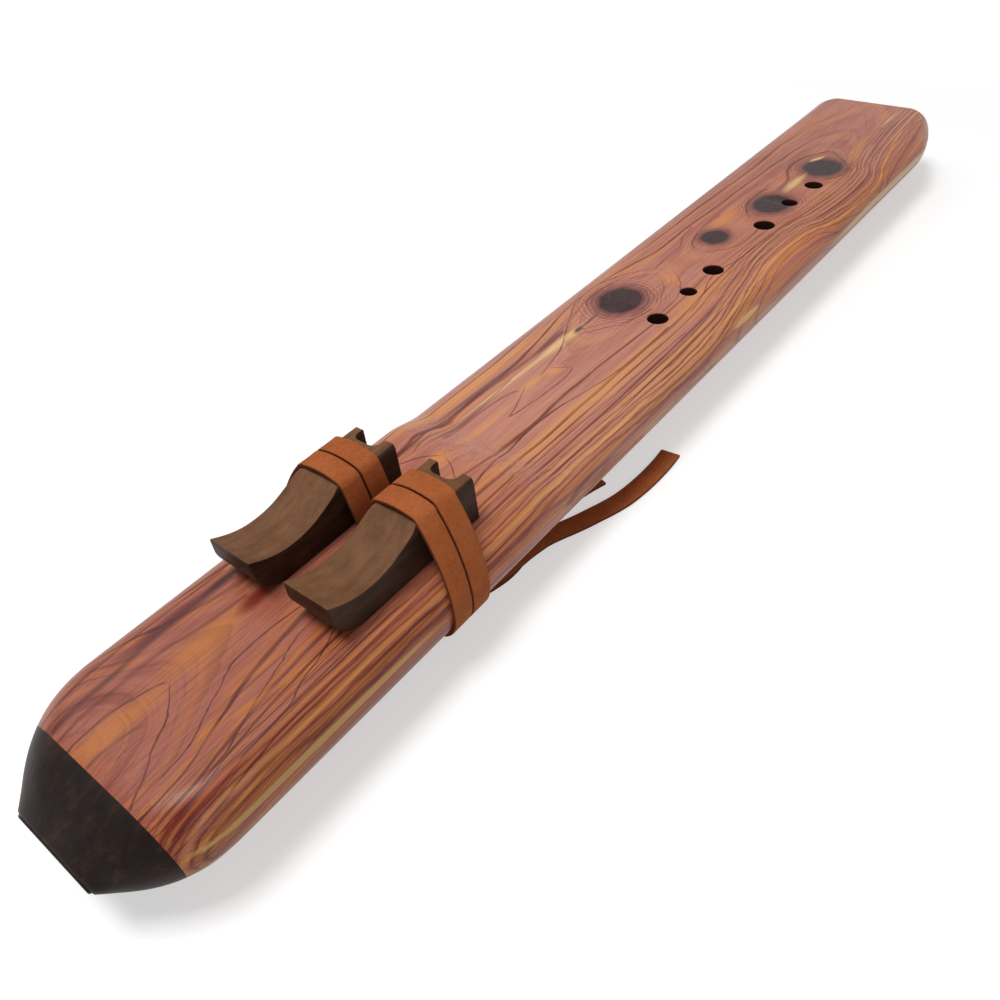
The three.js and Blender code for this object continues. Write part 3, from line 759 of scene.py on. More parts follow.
# Single dark rings on top: stations along and across, width, colour and strength.
top_lines = [
    ([(15, 9.5), (25, 9.6), (35, 8.2), (41, 6.4), (44, 5)], 0.75, rust, 0.9),
    ([(16, -17), (24, -13), (30, -8), (37, -4), (41, 1), (44, 5)], 0.75, rust, 0.9),
    ([(25, -17), (33, -16), (38, -14), (50, -8), (60, -4), (75, -4), (82, -5)], 0.6, rust, 0.85),
    ([(30, -26), (40, -24), (50, -20), (65, -15), (73, -12), (82, -11)], 0.6, rust, 0.85),
    ([(40, -28), (55, -27), (64, -24), (72, -22), (82, -18)], 0.6, rust, 0.85),
    ([(16, 14), (30, 15), (45, 15.5), (62, 12.5), (76, 11.5)], 1.6, plum, 0.6),
    ([(16, 18), (35, 19), (50, 20.5), (78, 20.5)], 2.6, plum, 0.8),
    ([(16, 24), (40, 25.5), (78, 25)], 1.0, plum, 0.65),
    ([(16, 1.5), (24, 1), (33, -1)], 1.6, plum, 0.45),
    ([(127, 18.4), (150, 17), (160, 19), (180, 19), (210, 17.6), (236, 17.5)], 1.9, plum, 0.85),
    ([(146, 14), (158, 15.5), (176, 14.6), (200, 15)], 0.9, plum, 0.65),
    ([(158, 11.5), (176, 12.3), (188, 11.3), (196, 8.5)], 1.4, plum, 0.7),
    ([(206, 7.5), (215, 9), (226, 12), (234, 16), (243, 20.5), (252, 25)], 0.8, plum, 0.8),
    ([(138, -14.5), (155, -11.3), (165, -9.2), (190, -8.6), (206, -11.6), (225, -14.6), (258, -15)],
     0.8, rust, 0.95),
    ([(136, -23), (152, -22), (170, -20.5), (206, -21.5), (258, -22.5)], 0.7, rust, 0.8),
    ([(181, 2.2), (188, 4), (194, 6.2), (199, 8.4)], 0.55, rust, 0.85),
    ([(181, 2.2), (190, 0.8), (200, -0.2), (210, -0.6), (217.5, 1.2)], 0.6, rust, 0.9),
    ([(212, 9), (213.5, 6), (215.5, 3), (217.5, 1.2)], 1.0, rust, 0.6),
    ([(139, 14), (144, 11.5), (148, 8.2), (151, 4.4)], 1.0, rust, 0.8),
    ([(143, -8), (146, -4), (149, 0), (151, 4.4)], 1.0, rust, 0.75),
    ([(236, 12), (241, 8), (248, 3), (256, -1), (266, -3)], 0.7, rust, 0.8),
    ([(238, 14), (244, 9.5), (250, 5), (257, 2), (266, -0.5)], 0.6, plum, 0.7),
    ([(250, 22), (258, 26), (268, 26.3), (278, 23.5), (288, 17.5), (295.8, 8)], 0.8, plum, 0.75),
    ([(262, -7.5), (275, -7.2), (285, -4), (292, 1), (295.8, 8)], 0.7, plum, 0.75),
    ([(254, 19), (262, 22.6), (272, 22), (281, 17.5), (289, 10)], 0.6, plum, 0.7),
    ([(272, -2), (281, 1), (286, 5), (289, 10)], 0.6, plum, 0.6),
    ([(292, 12.5), (305, 13.6), (315, 13.6), (322, 16.5), (334, 18.5)], 0.7, plum, 0.75),
    ([(314.6, 3.6), (317, 8), (323, 11.6), (333, 13.2), (350, 12.8)], 0.9, rust, 0.85),
    ([(314.6, 3.6), (318, -1), (324, -5.6), (333, -8.2), (346, -7.6)], 0.9, rust, 0.85),
    ([(334, 14), (353, 14.4), (372, 13.6), (388, 13)], 0.8, plum, 0.6),
    ([(270, -17), (285, -14.5), (300, -11), (318, -13.5), (345, -15.5), (365, -19)], 0.7, rust, 0.75),
    ([(352, 0), (358, 4.5), (366, 8), (378, 8), (384, 4)], 1.7, plum, 0.8),
    ([(382, 1.5), (395, 2.8), (404, 6.8), (412, 8.4), (422, 7), (430, 2.6), (436, -1)], 2.0, plum, 0.9),
    ([(400, -7), (406, -14), (415, -16.8), (424, -13), (431, -6), (436, -1)], 1.3, plum, 0.8),
    ([(428, 14), (445, 12), (458, 8), (467, 3)], 1.2, haze, 0.3),
    ([(446, -4), (458, -1.5), (467, 3)], 1.2, haze, 0.3),
    ([(450, 17), (468, 13), (482, 7.5), (488, 4)], 1.2, haze, 0.3),
    ([(464, -7), (478, -1), (488, 4)], 1.2, haze, 0.3),
]
# Rings along the right edge: how far each lies from the flow above, width, colour and strength.
edge_lines = [
    (5.2, 0.5, rust, 0.45), (3.4, 0.5, rust, 0.5), (1.5, 0.5, rust, 0.6), (0.5, 0.7, tan, 0.35),
    (-0.8, 0.6, rust, 0.7), (-2.0, 0.8, tan, 0.45), (-3.0, 0.6, rust, 0.75), (-4.2, 0.5, rust, 0.6),
    (-5.2, 0.9, tan, 0.45), (-6.2, 0.6, rust, 0.7), (-7.6, 0.6, rust, 0.6), (-9.8, 0.6, rust, 0.55),
    (-12.2, 0.6, rust, 0.5),
]
# Patches on top: place, half length and half width, turn in degrees, colour and strength.
top_streaks = [
    ((26, 5), (18, 4.6), -3, amber, 0.75),
    ((59, 8), (19, 5.2), 3, amber, 0.75),
    ((75, 8), (7, 3), 4, paint(130, 40, 24), 0.8),
    ((30, -27), (15, 3.4), 1, paint(176, 78, 34), 0.75),
    ((41, -15.6), (5, 1.2), -6, amber, 0.85),
    ((52, -18.6), (7, 1.4), -8, amber, 0.85),
    ((66, -21.5), (9, 2.2), -8, amber, 0.85),
    ((60, -12), (10, 1), -4, amber, 0.7),
    ((74, 21.8), (8, 1.5), 0, paint(44, 16, 16), 0.9),
    ((56, 22), (21, 2.3), 0, paint(122, 42, 48), 0.85),
    ((22, -28), (8, 2.4), 0, paint(128, 44, 22), 0.7),
    ((190, 20.4), (32, 1.3), -2, paint(92, 36, 42), 0.9),
    ((170, 13.4), (20, 1.1), 1, dusk, 0.8),
    ((228, 18.6), (12, 1.0), 4, dusk, 0.75),
    ((60, 33), (30, 1.2), 0, amber, 0.5),
    ((190, 25), (66, 3.4), -1, amber, 0.75),
    ((205, 14.4), (34, 1.2), -1, cream, 0.8),
    ((228, 13.8), (15, 2.3), 0, cream, 1.0),
    ((239, 13.4), (3.4, 1.3), 4, bark, 1.0),
    ((246, 13.3), (7, 0.7), 0, bark, 0.9),
    ((148, 4.5), (6, 4), 0, amber, 0.8),
    ((170, 6), (18, 1.6), 0, amber, 0.6),
    ((201, 7.6), (9, 1.7), -3, amber, 0.85),
    ((212, 5), (5, 2.6), -6, amber, 0.7),
    ((200, -15.4), (64, 3.6), -1, amber, 0.75),
    ((284, -14), (24, 5), -2, amber, 0.55),
    ((289, 3), (6, 6), 0, amber, 0.5),
    ((345, 9.4), (13, 3.4), -6, amber, 0.8),
    ((340, -27), (30, 1.8), 3, amber, 0.6),
    ((440, -12), (22, 3), 8, amber, 0.6),
    ((487, -11), (15, 1.2), -1, cream, 0.85),
]
# Cream patches that lap over the rims of the knots.
rim_patches = [
    ((394, -1.4), (12, 2.3), 0, cream, 1.0),
    ((423.5, 0.9), (5.5, 1.4), -24, cream, 1.0),
]
# Streaks on the right side: place along and height, half length and half height.
side_streaks = [
    ((58, 19.2), (48, 1.3), cream, 0.95),
    ((284, 20.6), (11, 1.0), cream, 0.8),
    ((300, 16), (14, 0.5), cream, 0.6),
    ((425, 16.6), (70, 2.3), cream, 1.0),
    ((470, 16.2), (40, 1.8), cream, 0.9),
]
# A size so large that an ellipse takes no notice of that direction.
anywhere = 400
# How far from the middle a ring line's path can lie.
path_reach = 40
# The lower board is cut from another place in the log.
under_board_shift = (0, 6, -34)
body_smooth_angle = 30


def curve(part_way, points, low, high):
    """Shares between low and high, on a smooth curve through levels at places along the flute."""
    made = node(part_way.tree, "ShaderNodeFloatCurve", {"Value": part_way})
    line = made.mapping.curves[0]
    spots = [(place / flute_length, (level - low) / (high - low)) for place, level in points]
    line.points[0].location = spots[0]
    for spot in spots[1:-1]:
        line.points.new(*spot)
    line.points[-1].location = spots[-1]
    made.mapping.update()
    return Reading(part_way.tree, made.outputs[0])


def curve_along(part_way, points, low, high):
    """The levels themselves, on the same smooth curve."""
    return curve(part_way, points, low, high) * (high - low) + low


def ellipse(centre, size, turn=0.0):
    return {"Location": centre, "Scale": size, "Rotation": (0, 0, math.radians(turn))}


def ellipse_gap(place, shape):
    """Distance from the centre of an ellipse, in which 1 is its edge."""
    local = read(place.tree, "ShaderNodeMapping", {"Vector": place, **shape}, vector_type="TEXTURE")
    return read(place.tree, "ShaderNodeVectorMath", {0: local}, "Value", operation="LENGTH")


def shader_group(name, **inputs):
    """A node group that takes inputs of the kinds named and gives a colour, with its readings."""
    group = bpy.data.node_groups.new(name, "ShaderNodeTree")
    group.interface.new_socket(name="Colour", in_out="OUTPUT", socket_type="NodeSocketColor")
    for label, kind in inputs.items():
        group.interface.new_socket(name=label, in_out="INPUT", socket_type="NodeSocket" + kind)
    given = node(group, "NodeGroupInput").outputs
    return group, {label: Reading(group, given[label]) for label in inputs}


def ring_line_group():
    """One thin ring line: Way is its path across the top, First and Last its two ends."""
    levels = ("Along", "Across", "Way", "First", "Last", "Width", "Strength", "Broken")
    group, given = shader_group("ring_line", Wood="Color", Ring="Color", **dict.fromkeys(levels, "Float"))
    off = abs(given["Across"] - (given["Way"] * (2 * path_reach) - path_reach)) / given["Width"]
    strength = given["Strength"] * given["Broken"].fade(0.4, 1, 0.55, 1)
    inside = (given["Along"] - given["First"]).math("MINIMUM", given["Last"] - given["Along"])
    mask = off.fade(0.15, 0.62, strength, 0) * inside.fade(0, 1.5, 0, 1)
    node(group, "NodeGroupOutput", {0: given["Wood"].covered(mask, given["Ring"])})
    return group


def patch_group():
    """A soft-edged patch of another colour, an ellipse with a ragged edge."""
    shape = dict.fromkeys(("Location", "Scale", "Rotation"), "Vector")
    group, given = shader_group(
        "patch", Wood="Color", Patch="Color", Place="Vector", Ragged="Float", Strength="Float", **shape
    )
    gap = ellipse_gap(given["Place"], {label: given[label] for label in shape}) + given["Ragged"]
    mask = gap.fade(0.4, 1.1, given["Strength"], 0)
    node(group, "NodeGroupOutput", {0: given["Wood"].covered(mask, given["Patch"])})
    return group


def cedar_material(name, shift, is_top):
    """One board's cedar, in the flute's own coordinates. The shift says where in the log it grew."""
    material, tree, surface = new_material(name, Roughness=0.34, Specular_IOR_Level=0.2)
    from_mouth = Vector((flute_length / 2, 0, -ground_height))
    place = object_place(tree, shift=from_mouth + Vector(shift))
    along, across, height = place.parts()
    part_way = along * (1 / flute_length)

    def figure(scale, detail, roughness):
        squeezed = read(tree, "ShaderNodeMapping", {"Vector": place, "Scale": scale})
        return noise(squeezed, 1, detail, roughness)

    # The distance from the pith line, swayed and pushed aside by the knots.
    side = across - curve_along(part_way, log_drift, -10, 10)
    below = curve_along(part_way, log_rise, 20, 60) + nest_height - height
    sway = figure((0.011, 0.06, 0.06), 2, 0.5)
    waver = figure((0.05, 0.3, 0.3), 3, 0.6)
    radius = (side * side + below * below).math("SQRT") + sway.swing(2.4) + waver.swing(0.5)
    outward = across * (-1 / body_width)
    on_right = outward.fade(0.12, 0.3, 0, 1)
    flow = curve_along(part_way, right_flow, -path_reach, 0) - straight_flow
    radius = radius + flow * on_right * 0.62
    nearest = None
    if is_top:
        for knot in cedar_knots:
            centre = (*knot["place"], 0)
            gap = ellipse_gap(place, ellipse(centre, (*knot["size"], anywhere), knot["turn"]))
            nearest = nearest.math("MINIMUM", gap) if nearest else gap
            gap = ellipse_gap(place, ellipse(centre, (*knot["reach"], anywhere), knot["turn"]))
            radius = radius - (gap * -1).math("EXPONENT") * knot["push"]

    # Growth rings: each ends in a line of late wood, some much darker than others. They lie
    # closest, and show clearest, on the rounded sides.
    rings = radius * (1 / ring_width)
    rings = rings + noise(rings * 0.6, 1, 1, sort="1D") * 1.6
    luck = read(tree, "ShaderNodeTexWhiteNoise", {"W": rings.math("FLOOR")}, noise_dimensions="1D")
    late = rings.math("FRACT").ramp(
        (0.0, 0.4), (0.1, 0.0), (0.5, 0.05), (0.78, 0.45), (0.92, 1.0), (1.0, 0.4)
    )
    fibre = figure((0.03, 1.3, 1.3), 3, 0.65)
    fine = figure((0.12, 5.5, 5.5), 2, 0.6)
    broken = figure((0.02, 0.2, 0.2), 2, 0.6).fade(0.35, 0.6, 0.4, 1)
    clear = (abs(across) * (1 / body_width)).fade(0.16, 0.32, 0.42, 1)
    late = late * luck.fade(0.3, 0.85, 0.25, 1) * (broken * clear)

    # Heartwood runs from plum through salmon to orange, in bands that follow the rings.
    bands = noise(rings * 0.29 + 3.7, 1, 2, sort="1D")
    clouds = figure((0.012, 0.09, 0.09), 3, 0.6)
    bands = (bands - 0.5) * clear + 0.5
    hue = bands * 0.6 + clouds * 0.3 + luck * 0.1 + on_right * 0.05
    wood = hue.ramp(
        (0.33, paint(126, 56, 46)),
        (0.40, paint(164, 92, 78)),
        (0.48, paint(188, 120, 102)),
        (0.56, paint(198, 126, 90)),
        (0.63, paint(208, 134, 80)),
        (0.72, paint(220, 154, 98)),
    )
    wood = wood.covered(fibre.fade(0.44, 0.7, 0, 0.5), paint(128, 62, 44))
    wood = wood.covered(fine.fade(0.52, 0.72, 0, 0.3), paint(230, 166, 122))
    if is_top:
        ragged = fibre.swing(1)
        patch = patch_group()

        def patched(wood, patches):
            for spot, size, turn, colour, strength in patches:
                sockets = {"Wood": wood, "Patch": colour, "Place": place, "Ragged": ragged}
                sockets |= {"Strength": strength, **ellipse((*spot, 0), (*size, anywhere), turn)}
                wood = read(tree, "ShaderNodeGroup", sockets, node_tree=patch)
            return wood

        wood = patched(wood, top_streaks)
    wood = wood.covered(curve_along(part_way, paleness, 0, 1), paint(220, 186, 168))
    wood = wood.covered(late * 0.86, paint(104, 40, 22))
    plain = along.fade(420, 445, 1, 0.2)
    for dark_radius in dark_ring_radii:
        accent = abs(radius - dark_radius).fade(0.08, 0.36, 0.85, 0)
        wood = wood.covered(accent * (broken * plain), rust)
    if is_top:
        shaky = across + waver.swing(1.8)
        line = ring_line_group()
        parallel = [([(x, y + shift) for x, y in right_flow], *looks) for shift, *looks in edge_lines]
        for points, width, colour, strength in [*parallel, *top_lines]:
            way = curve(part_way, points, -path_reach, path_reach)
            sockets = {"Wood": wood, "Along": along, "Across": shaky, "Way": way, "Broken": broken}
            sockets |= {"First": points[0][0], "Last": points[-1][0], "Width": width}
            sockets |= {"Strength": strength, "Ring": colour}
            wood = read(tree, "ShaderNodeGroup", sockets, node_tree=line)
        edge = outward.fade(0.44, 0.47, 0, 1)
        for (spot, level), (length, tall), colour, strength in side_streaks:
            gap = ellipse_gap(place, ellipse((spot, 0, level), (length, anywhere, tall))) + ragged * 0.5
            wood = wood.covered(gap.fade(0.7, 1, strength, 0) * edge, colour)

        # Knots: fine rings of their own, a reddish halo, a dark rim and a dense brown heart.
        shaken = nearest + waver.swing(0.34)
        own = (shaken * 5.3).math("FRACT")
        own = own.ramp((0.0, 0.3), (0.2, 0.0), (0.6, 0.0), (0.88, 0.85), (1.0, 0.3))
        wood = wood.covered(own * (nearest * 0.4).ramp((0.4, 1.0), (0.68, 0.7), (0.95, 0.0)), plum)
        halo = (shaken * 0.4).ramp((0.38, 0.95), (0.46, 0.6), (0.66, 0.0))
        wood = wood.covered(halo, paint(92, 42, 46))
        heart = figure((0.25, 0.9, 0.4), 4, 0.6).ramp((0.38, paint(44, 23, 25)), (0.62, paint(66, 40, 40)))
        wood = wood.covered((shaken * 0.5).ramp((0.46, 1.0), (0.53, 0.0)), heart)
        wood = patched(wood, rim_patches)
    rich = curve_along(part_way, richness, 0, 2)
    wood = read(tree, "ShaderNodeGamma", {"Color": wood, "Gamma": rich})
    shade = curve_along(part_way, depth_of_colour, 0, 2)
    wood = read(tree, "ShaderNodeVectorMath", {0: wood, "Scale": shade}, operation="SCALE")

    # The walls inside the body, round the bores, the slot and the finger holes, are painted near black as
    # painted shade.
    true_along, true_across, true_height = object_place(tree, shift=from_mouth).parts()
    reach = true_along * (1 / flute_length)
    level = true_height * (1 / nest_height)
    spread = abs(true_across) * (2 / body_width)
    inner_shade = reach.fade(0.13, 0.14, 0, 1) * reach.fade(0.955, 0.96, 1, 0)
    inner_shade = inner_shade * (level.fade(0.06, 0.09, 0, 1) * level.fade(0.845, 0.862, 1, 0))
    wood = wood.covered(inner_shade * spread.fade(0.66, 0.68, 1, 0), paint(46, 26, 20))
    finish_surface(surface, wood, fine * 0.5 + fibre * 0.5, 0.08)
    return material


def walnut_tip_material():
    """Near black walnut with open pores."""
    material, tree, surface = new_material("dark_walnut", Roughness=0.42, Specular_IOR_Level=0.12)
    grain = noise(object_place(tree, (50, 520, 700)), 0.5, 5, 0.6, 0.3)
    clouds = noise(object_place(tree), 0.07, 3, 0.6)
    pores = noise(object_place(tree, (150, 2600, 2600)), 1, 2)
    tone = grain * 0.6 + clouds * 0.4
    colour = tone.ramp((0.36, paint(18, 10, 8)), (0.5, paint(31, 19, 15)), (0.66, paint(58, 38, 28)))
    colour = colour.covered(pores.ramp((0.55, 0.0), (0.72, 0.6)), paint(12, 8, 7))
    finish_surface(surface, colour, pores, 0.1)
    return material


def finish_wood(piece, material, body, slot, cad_node, smooth_angle):
    piece.data.materials.clear()
    piece.data.materials.append(material)
    for polygon in piece.data.polygons:
        polygon.material_index = 0
    smooth_shade(piece.data, smooth_angle)
    place_piece(piece, cad_node, body, slot)


hollowed = add_object("hollowed", loft("hollowed", body_rings()))
cut(hollowed, [*hollow_cutters(), *finger_hole_cutters()])
wide = body_width / 2 + overrun
room_end = flute_length + overrun
room_top = nest_height + overrun
dark_walnut = walnut_tip_material()
upper_cedar = cedar_material("red_cedar_top", (0, 0, 0), True)
lower_cedar = cedar_material("red_cedar_under", under_board_shift, False)
for cad_node, start, end, low, high, material, slot in (
    ("mouthpiece_tip", -overrun, tip_length, -overrun, room_top, dark_walnut, "dark_walnut"),
    ("upper_body_half", tip_length, room_end, seam_height, room_top, upper_cedar, "cedar"),
    ("lower_body_half", tip_length, room_end, -overrun, seam_height, lower_cedar, "cedar"),
):
    piece = add_object(cad_node + "_wood", hollowed.data.copy())
    cut(piece, [box_cutter((start, -wide, low), (end, wide, high))], "INTERSECT")
    finish_wood(piece, material, "flute_body", slot, cad_node, body_smooth_angle)
bpy.data.objects.remove(hollowed)

# The two blocks: walnut, sawn with a concave back and a thin bow that looks to the mouth, rounded
# along the top of the rear end and notched there. Each slides on the nest over its windway.
block_start = 77.6
block_length = 57.4
block_height = 15.9
block_foot_width = 17.8
block_top_width = 17.4
block_round = 2.3
block_bow_radius = 9.5
block_rear_drop = 0.5
block_edge = 0.35
notch_width = 9.9
notch_depth = 5
notch_corner_radius = 3
# How far along the block, and the height of its back as a share.
block_back_shares = [
    (0, 0.875), (0.075, 0.745), (0.145, 0.655), (0.215, 0.61), (0.3, 0.61),
    (0.385, 0.66), (0.46, 0.755), (0.53, 0.865), (0.585, 0.965), (0.62, 1),
]
flank_steps = 10
fillet_steps = 5
bow_steps = 20
first_bow_stop = 0.42
merge_gap = 0.000002
back_steps = 99
notch_steps = 8
least_half_width = 0.1
block_smooth_angle = 35


def block_top(x):
    """Height of the block's back at a distance from its bow."""
    crest_share = block_back_shares[-1][0]
    if x >= crest_share * block_length:
        beyond = max(0.0, x - (block_length - notch_depth)) / notch_depth
        return block_height - beyond * block_rear_drop
    return eased(block_back_shares, min(x / block_length, crest_share - 1e-6))[0] * block_height


def block_ring(x, inset):
    """One section of the block across its length, drawn in on every side by an inset."""
    foot = block_foot_width / 2
    shoulder = block_height - block_round
    half_top = block_top_width / 2
    bow = block_bow_radius
    low = bow - math.sqrt(bow**2 - (bow - x) ** 2) if x < bow else 0.0
    top = block_top(x)
    reach = max(0.0, top - block_edge - shoulder) / (block_round - block_edge)
    turn = math.asin(min(1.0, reach))

    def flank(height):
        if height <= shoulder:
            return foot + (half_top - foot) * height / shoulder
        rise = min(1.0, (height - shoulder) / block_round)
        return half_top - block_round + block_round * math.sqrt(1 - rise**2)

    side_end = min(shoulder, top - block_edge)
    points = [(flank(low) - drawn, low + up) for up, drawn in quarter_round(block_edge, fillet_steps)]
    for k in range(1, flank_steps + 1):
        height = low + block_edge + (side_end - low - block_edge) * k / flank_steps
        points.append((flank(height), height))
    for k in range(1, flank_steps + 1):
        angle = turn * k / flank_steps
        y = half_top - block_round + block_round * math.cos(angle)
        height = side_end + block_round * math.sin(angle)
        points.append((y, height) if turn else (flank(side_end), side_end))
    last_y, last_height = points[-1]
    for k in range(1, fillet_steps + 1):
        angle = turn + (math.pi / 2 - turn) * k / fillet_steps
        y = last_y - block_edge * (math.cos(turn) - math.cos(angle))
        height = last_height + block_edge * (math.sin(angle) - math.sin(turn))
        points.append((y, min(height, top)))
    middle = (low + top) / 2
    drawn = []
    for y, height in points:
        drawn.append((max(least_half_width, y - inset), height + (inset if height < middle else -inset)))
    return [(x, y, z) for y, z in reversed(drawn)] + [(x, -y, z) for y, z in drawn]


def block_mesh(name, start, y):
    """A loft through sections of the block, with its first and last edges rounded."""
    stops = quarter_round(block_edge, fillet_steps)
    for k in range(1, bow_steps):
        x = block_bow_radius * (1 - math.cos(k / bow_steps * math.pi / 2))
        if x > first_bow_stop:
            stops.append((x, 0))
    run = block_length - block_edge - block_bow_radius
    stops += [(block_bow_radius + run * k / back_steps, 0) for k in range(back_steps + 1)]
    stops += [(block_length - left, inset) for inset, left in quarter_round(block_edge, fillet_steps)[1:]]
    rings = []
    for x, inset in stops:
        rings.append([(start + px, y + py, nest_height + pz) for px, py, pz in block_ring(x, inset)])
    return outward(loft(name, rings), merge_gap)


def notch_cutter(start, y):
    """The U of the rear notch, seen from above, as a tall cutter."""
    radius = notch_corner_radius
    end = start + block_length
    outline = [(end + overrun, -notch_width / 2), (end + overrun, notch_width / 2)]
    for side, first_turn in ((1, 0.5), (-1, 1)):
        for k in range(notch_steps + 1):
            angle = math.pi * (first_turn + k / notch_steps / 2)
            x = end - notch_depth + radius + radius * math.cos(angle)
            outline.append((x, side * (notch_width / 2 - radius) + radius * math.sin(angle)))
    heights = (nest_height - overrun, nest_height + block_height + overrun)
    return cutter([[(px, y + py, height) for px, py in outline] for height in heights])


def block_material():
    """Walnut, oiled on its sides and sanded matt over its back, with painted light: darker on the sides as
    painted shade and lighter over the back, where it faces up.
    """
    material, tree, surface = new_material("block_walnut", Specular_IOR_Level=0.13)
    grain = noise(object_place(tree, (45, 420, 420)), 1, 4, 0.6)
    clouds = noise(object_place(tree), 0.09, 3, 0.6)
    pores = noise(object_place(tree, (220, 2600, 2600)), 1, 2)
    sanding = noise(object_place(tree, (3000, 260, 260)), 1, 2, 0.6)
    tone = grain * 0.5 + clouds * 0.5
    # Painted light: side is a darker, shaded copy of the walnut for faces that look sideways; the lighter,
    # lit copy, with its sanding marks, goes on faces that look up.
    side = tone.ramp((0.35, paint(36, 21, 13)), (0.5, paint(52, 32, 21)), (0.66, paint(74, 49, 33)))
    sanded_lit_back = tone.ramp((0.35, paint(92, 60, 38)), (0.5, paint(110, 74, 48)), (0.66, paint(126, 88, 60)))
    sanded_lit_back = sanded_lit_back.covered(sanding * 0.2, paint(88, 60, 44))
    upward = read(tree, "ShaderNodeNewGeometry", output="Normal").parts()[2]
    colour = side.covered(upward.ramp((0.62, 0.0), (0.8, 1.0)), sanded_lit_back)
    tree.links.new(upward.fade(0.62, 0.8, 0.45, 0.62).socket, surface.inputs["Roughness"])
    colour = colour.covered(pores.ramp((0.58, 0.0), (0.74, 0.35)), paint(34, 23, 18))
    finish_surface(surface, colour, sanding * 0.5 + pores, 0.12)
    return material


worked_walnut = block_material()
for name, side, lead in (("right_block", -1, 0), ("left_block", 1, left_lead)):
    mesh = block_mesh(name + "_wood", block_start - lead, side * block_offset)
    piece = add_object(name + "_wood", mesh)
    cut(piece, [notch_cutter(block_start - lead, side * block_offset)])
    finish_wood(piece, worked_walnut, name, "block_walnut", name, block_smooth_angle)

# The thongs: one unbroken strip of leather to each barrel. It runs from the knot under the body
# round the outer side, over the block and down the slot, twice, and ends through the knot.
thong_clearance = 0.15
turn_pitch = 8.05
first_turn_place = 115.5
side_lean = 4.5
side_bow_radius = 51
crown_radius = 25
end_share = 0.1
start_lead = 13.4
start_angle = math.pi * 11 / 8
turn_lead = 7.8
swing_radius = 6
layer_gap = 0.8
bend_step = math.pi / 48
swing_steps = 12
knot_clearance = 0.25
knot_corner_radius = 0.15
knot_corner_steps = 8
top_corner_width = nest_height - side_height
thong_stand = thong_clearance + thong_thickness / 2
knot_depth = thong_stand + thong_thickness + layer_gap


def bend(x_at, centre, reach, start, end):
    """Stops of a strip round an edge that runs along the flute: a place and a facing direction."""
    steps = math.ceil(abs(end - start) / bend_step)
    stops = []
    for i in range(steps + 1):
        angle = start + (end - start) * i / steps
        out = Vector((0, math.cos(angle), math.sin(angle)))
        y = centre[0] + reach[0] * out.y
        z = centre[1] + reach[1] * out.z
        stops.append((Vector((x_at(i / steps, angle), y, z)), out))
    return stops


def under_corner(low_place, lead, start):
    """Stops round the body's lower corner, leaning forward as they near the underside."""

    def slant(share, angle):
        return low_place + lead * (1 - abs(math.cos(angle))) ** 2

    centre = (bottom_corner_width - body_width / 2, side_height)
    reach = (bottom_corner_width + thong_stand, side_height + thong_stand)
    return bend(slant, centre, reach, start, math.pi)


def bow_centre(start, start_reach, end, end_reach, radius):
    """The centre of the bow of a radius in which stiff leather crosses from edge to edge."""
    ahead = end - start
    distance = ahead.length
    ahead.normalize()
    first, last = radius - start_reach, radius - end_reach
    along = (first**2 - last**2 + distance**2) / (2 * distance)
    aside = math.sqrt(first**2 - along**2)
    return start + ahead * along + Vector((ahead.y, -ahead.x)) * aside


def heading(start, end):
    ahead = end - start
    return math.atan2(ahead.y, ahead.x) % (2 * math.pi)


def over_block(top_place):
    """Stops up the side, over the block's two top edges and down into the slot."""
    crest = nest_height + block_height - block_round
    inset = block_top_width / 2 - block_round
    shoulder = Vector((top_corner_width - body_width / 2, side_height))
    outer = Vector((-block_offset - inset, crest))
    inner = Vector((inset - block_offset, crest))
    shoulder_reach = top_corner_width + thong_stand
    reach = block_round + thong_stand
    side = bow_centre(shoulder, shoulder_reach, outer, reach, side_bow_radius)
    crown = bow_centre(outer, reach, inner, reach, crown_radius)
    slot_line = Vector((thong_stand - slot_half_width, nest_height))
    down = slot_line - inner
    leave_angle = heading(inner, slot_line) - 2 * math.pi + math.acos(reach / down.length)

    def arc(start_share, stop_share, centre, radius, start, end):
        def x_at(share, _):
            return top_place + side_lean * (start_share + (stop_share - start_share) * share - 1)

        return bend(x_at, centre, (radius, radius), start, end)[1:]

    side_start, side_end = heading(side, shoulder), heading(side, outer)
    crown_start, crown_end = heading(crown, outer), heading(crown, inner)
    return [
        *arc(0, end_share, shoulder, shoulder_reach, math.pi, side_start),
        *arc(end_share, 1 - end_share, side, side_bow_radius, side_start, side_end),
        *arc(1 - end_share, 1, outer, reach, side_end, crown_start),
        *arc(1, 1, crown, crown_radius, crown_start, crown_end),
        *arc(1, 1, inner, reach, crown_end, leave_angle),
        (Vector((top_place, *slot_line)), Vector((0, 1, 0))),
    ]


def out_of_slot(place, depth):
    centre = (-slot_half_width, thong_stand - depth)
    return bend(lambda *_: place, centre, (thong_stand, thong_stand), 0, -math.pi / 2)


def swing(place, crossing, heading, depth):
    """A turn of the strip in its own plane, from straight out of the slot to a new heading."""
    turn = math.atan2(heading.x, -heading.y)
    side = 1 if turn > 0 else -1
    centre_x = place + side * swing_radius
    centre_y = crossing + swing_radius * math.tan(abs(turn) / 2)
    stops = []
    for i in range(swing_steps + 1):
        angle = abs(turn) * i / swing_steps
        x = centre_x - side * swing_radius * math.cos(angle)
        y = centre_y - swing_radius * math.sin(angle)
        stops.append((Vector((x, y, -depth)), Vector((0, 0, -1))))
    return stops


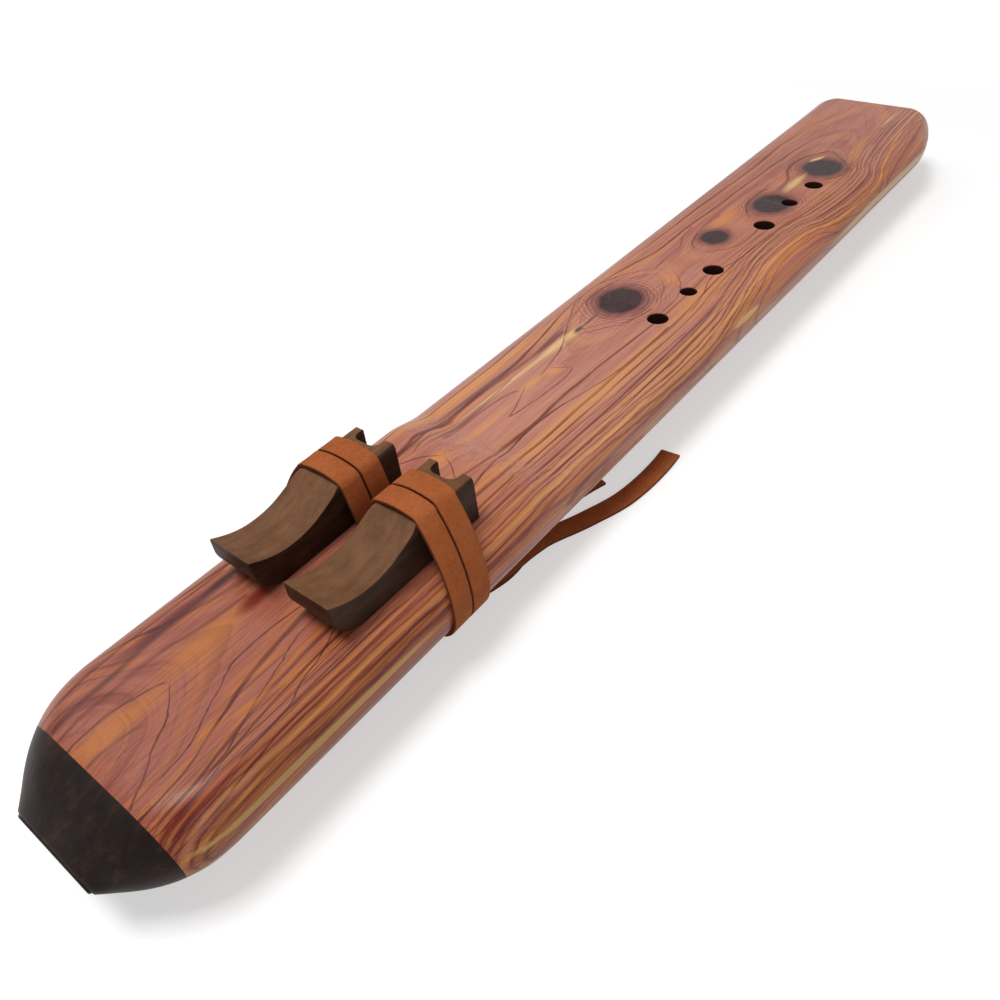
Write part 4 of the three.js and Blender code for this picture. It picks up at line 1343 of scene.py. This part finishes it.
def winding():
    """Stops of the whole strip on the right barrel, from beside the knot to its end in the knot."""
    near = first_turn_place
    far = first_turn_place + turn_pitch
    first = under_corner(far - side_lean, start_lead, start_angle)
    second = under_corner(near - side_lean, turn_lead, math.pi * 1.5)
    slant = (second[1][0] - second[0][0]).to_2d().to_3d().normalized()
    first_crossing = second[0][0].y + (far - second[0][0].x) * slant.y / slant.x
    knot, along = knot_place, knot_heading
    last_crossing = knot.y + (near - knot.x) * along.y / along.x
    reach = knot_reach + stub_length
    down = Vector((0, 0, -1))
    return [
        *first,
        *over_block(far),
        *out_of_slot(far, thong_stand),
        *swing(far, first_crossing, slant, thong_stand),
        *second,
        *over_block(near),
        *out_of_slot(near, knot_depth),
        *swing(near, last_crossing, along, knot_depth),
        (knot - along * reach, down),
        (knot + along * reach, down),
    ]


def knot_turn():
    """A tight turn of the strip round the end strand, which it crosses at a right angle."""
    aside = Vector((-knot_heading.y, knot_heading.x, 0))
    up = Vector((0, 0, 1))
    half_wide = thong_width / 2 + knot_clearance - knot_corner_radius
    half_high = thong_thickness / 2 + knot_clearance - knot_corner_radius
    radius = thong_thickness / 2 + knot_corner_radius
    stops = []
    for corner, (side, level) in enumerate(((1, 1), (-1, 1), (-1, -1), (1, -1))):
        centre = knot_place + aside * side * half_wide + up * level * half_high
        for i in range(knot_corner_steps + 1):
            angle = (corner + i / knot_corner_steps) * math.pi / 2
            out = aside * math.cos(angle) + up * math.sin(angle)
            stops.append((centre + out * radius, out))
    return [*stops, stops[0]]


def tie(name, cad_node, stops, side, lead):
    """Lays a strip on the right barrel as its stops say, or on the left one as their mirror image."""
    places = [Vector((place.x - lead, place.y * -side, place.z)) for place, _ in stops]
    faces = [Vector((face.x, face.y * -side, face.z)) for _, face in stops]
    place_piece(leather_piece(name, places, faces), cad_node, "flute_body", "leather")


for name, side, lead in (("right", -1, 0), ("left", 1, left_lead)):
    tie(name + "_thong_strip", name + "_thong", winding(), side, lead)
    tie(name + "_knot_strip", name + "_knot", knot_turn(), side, lead)
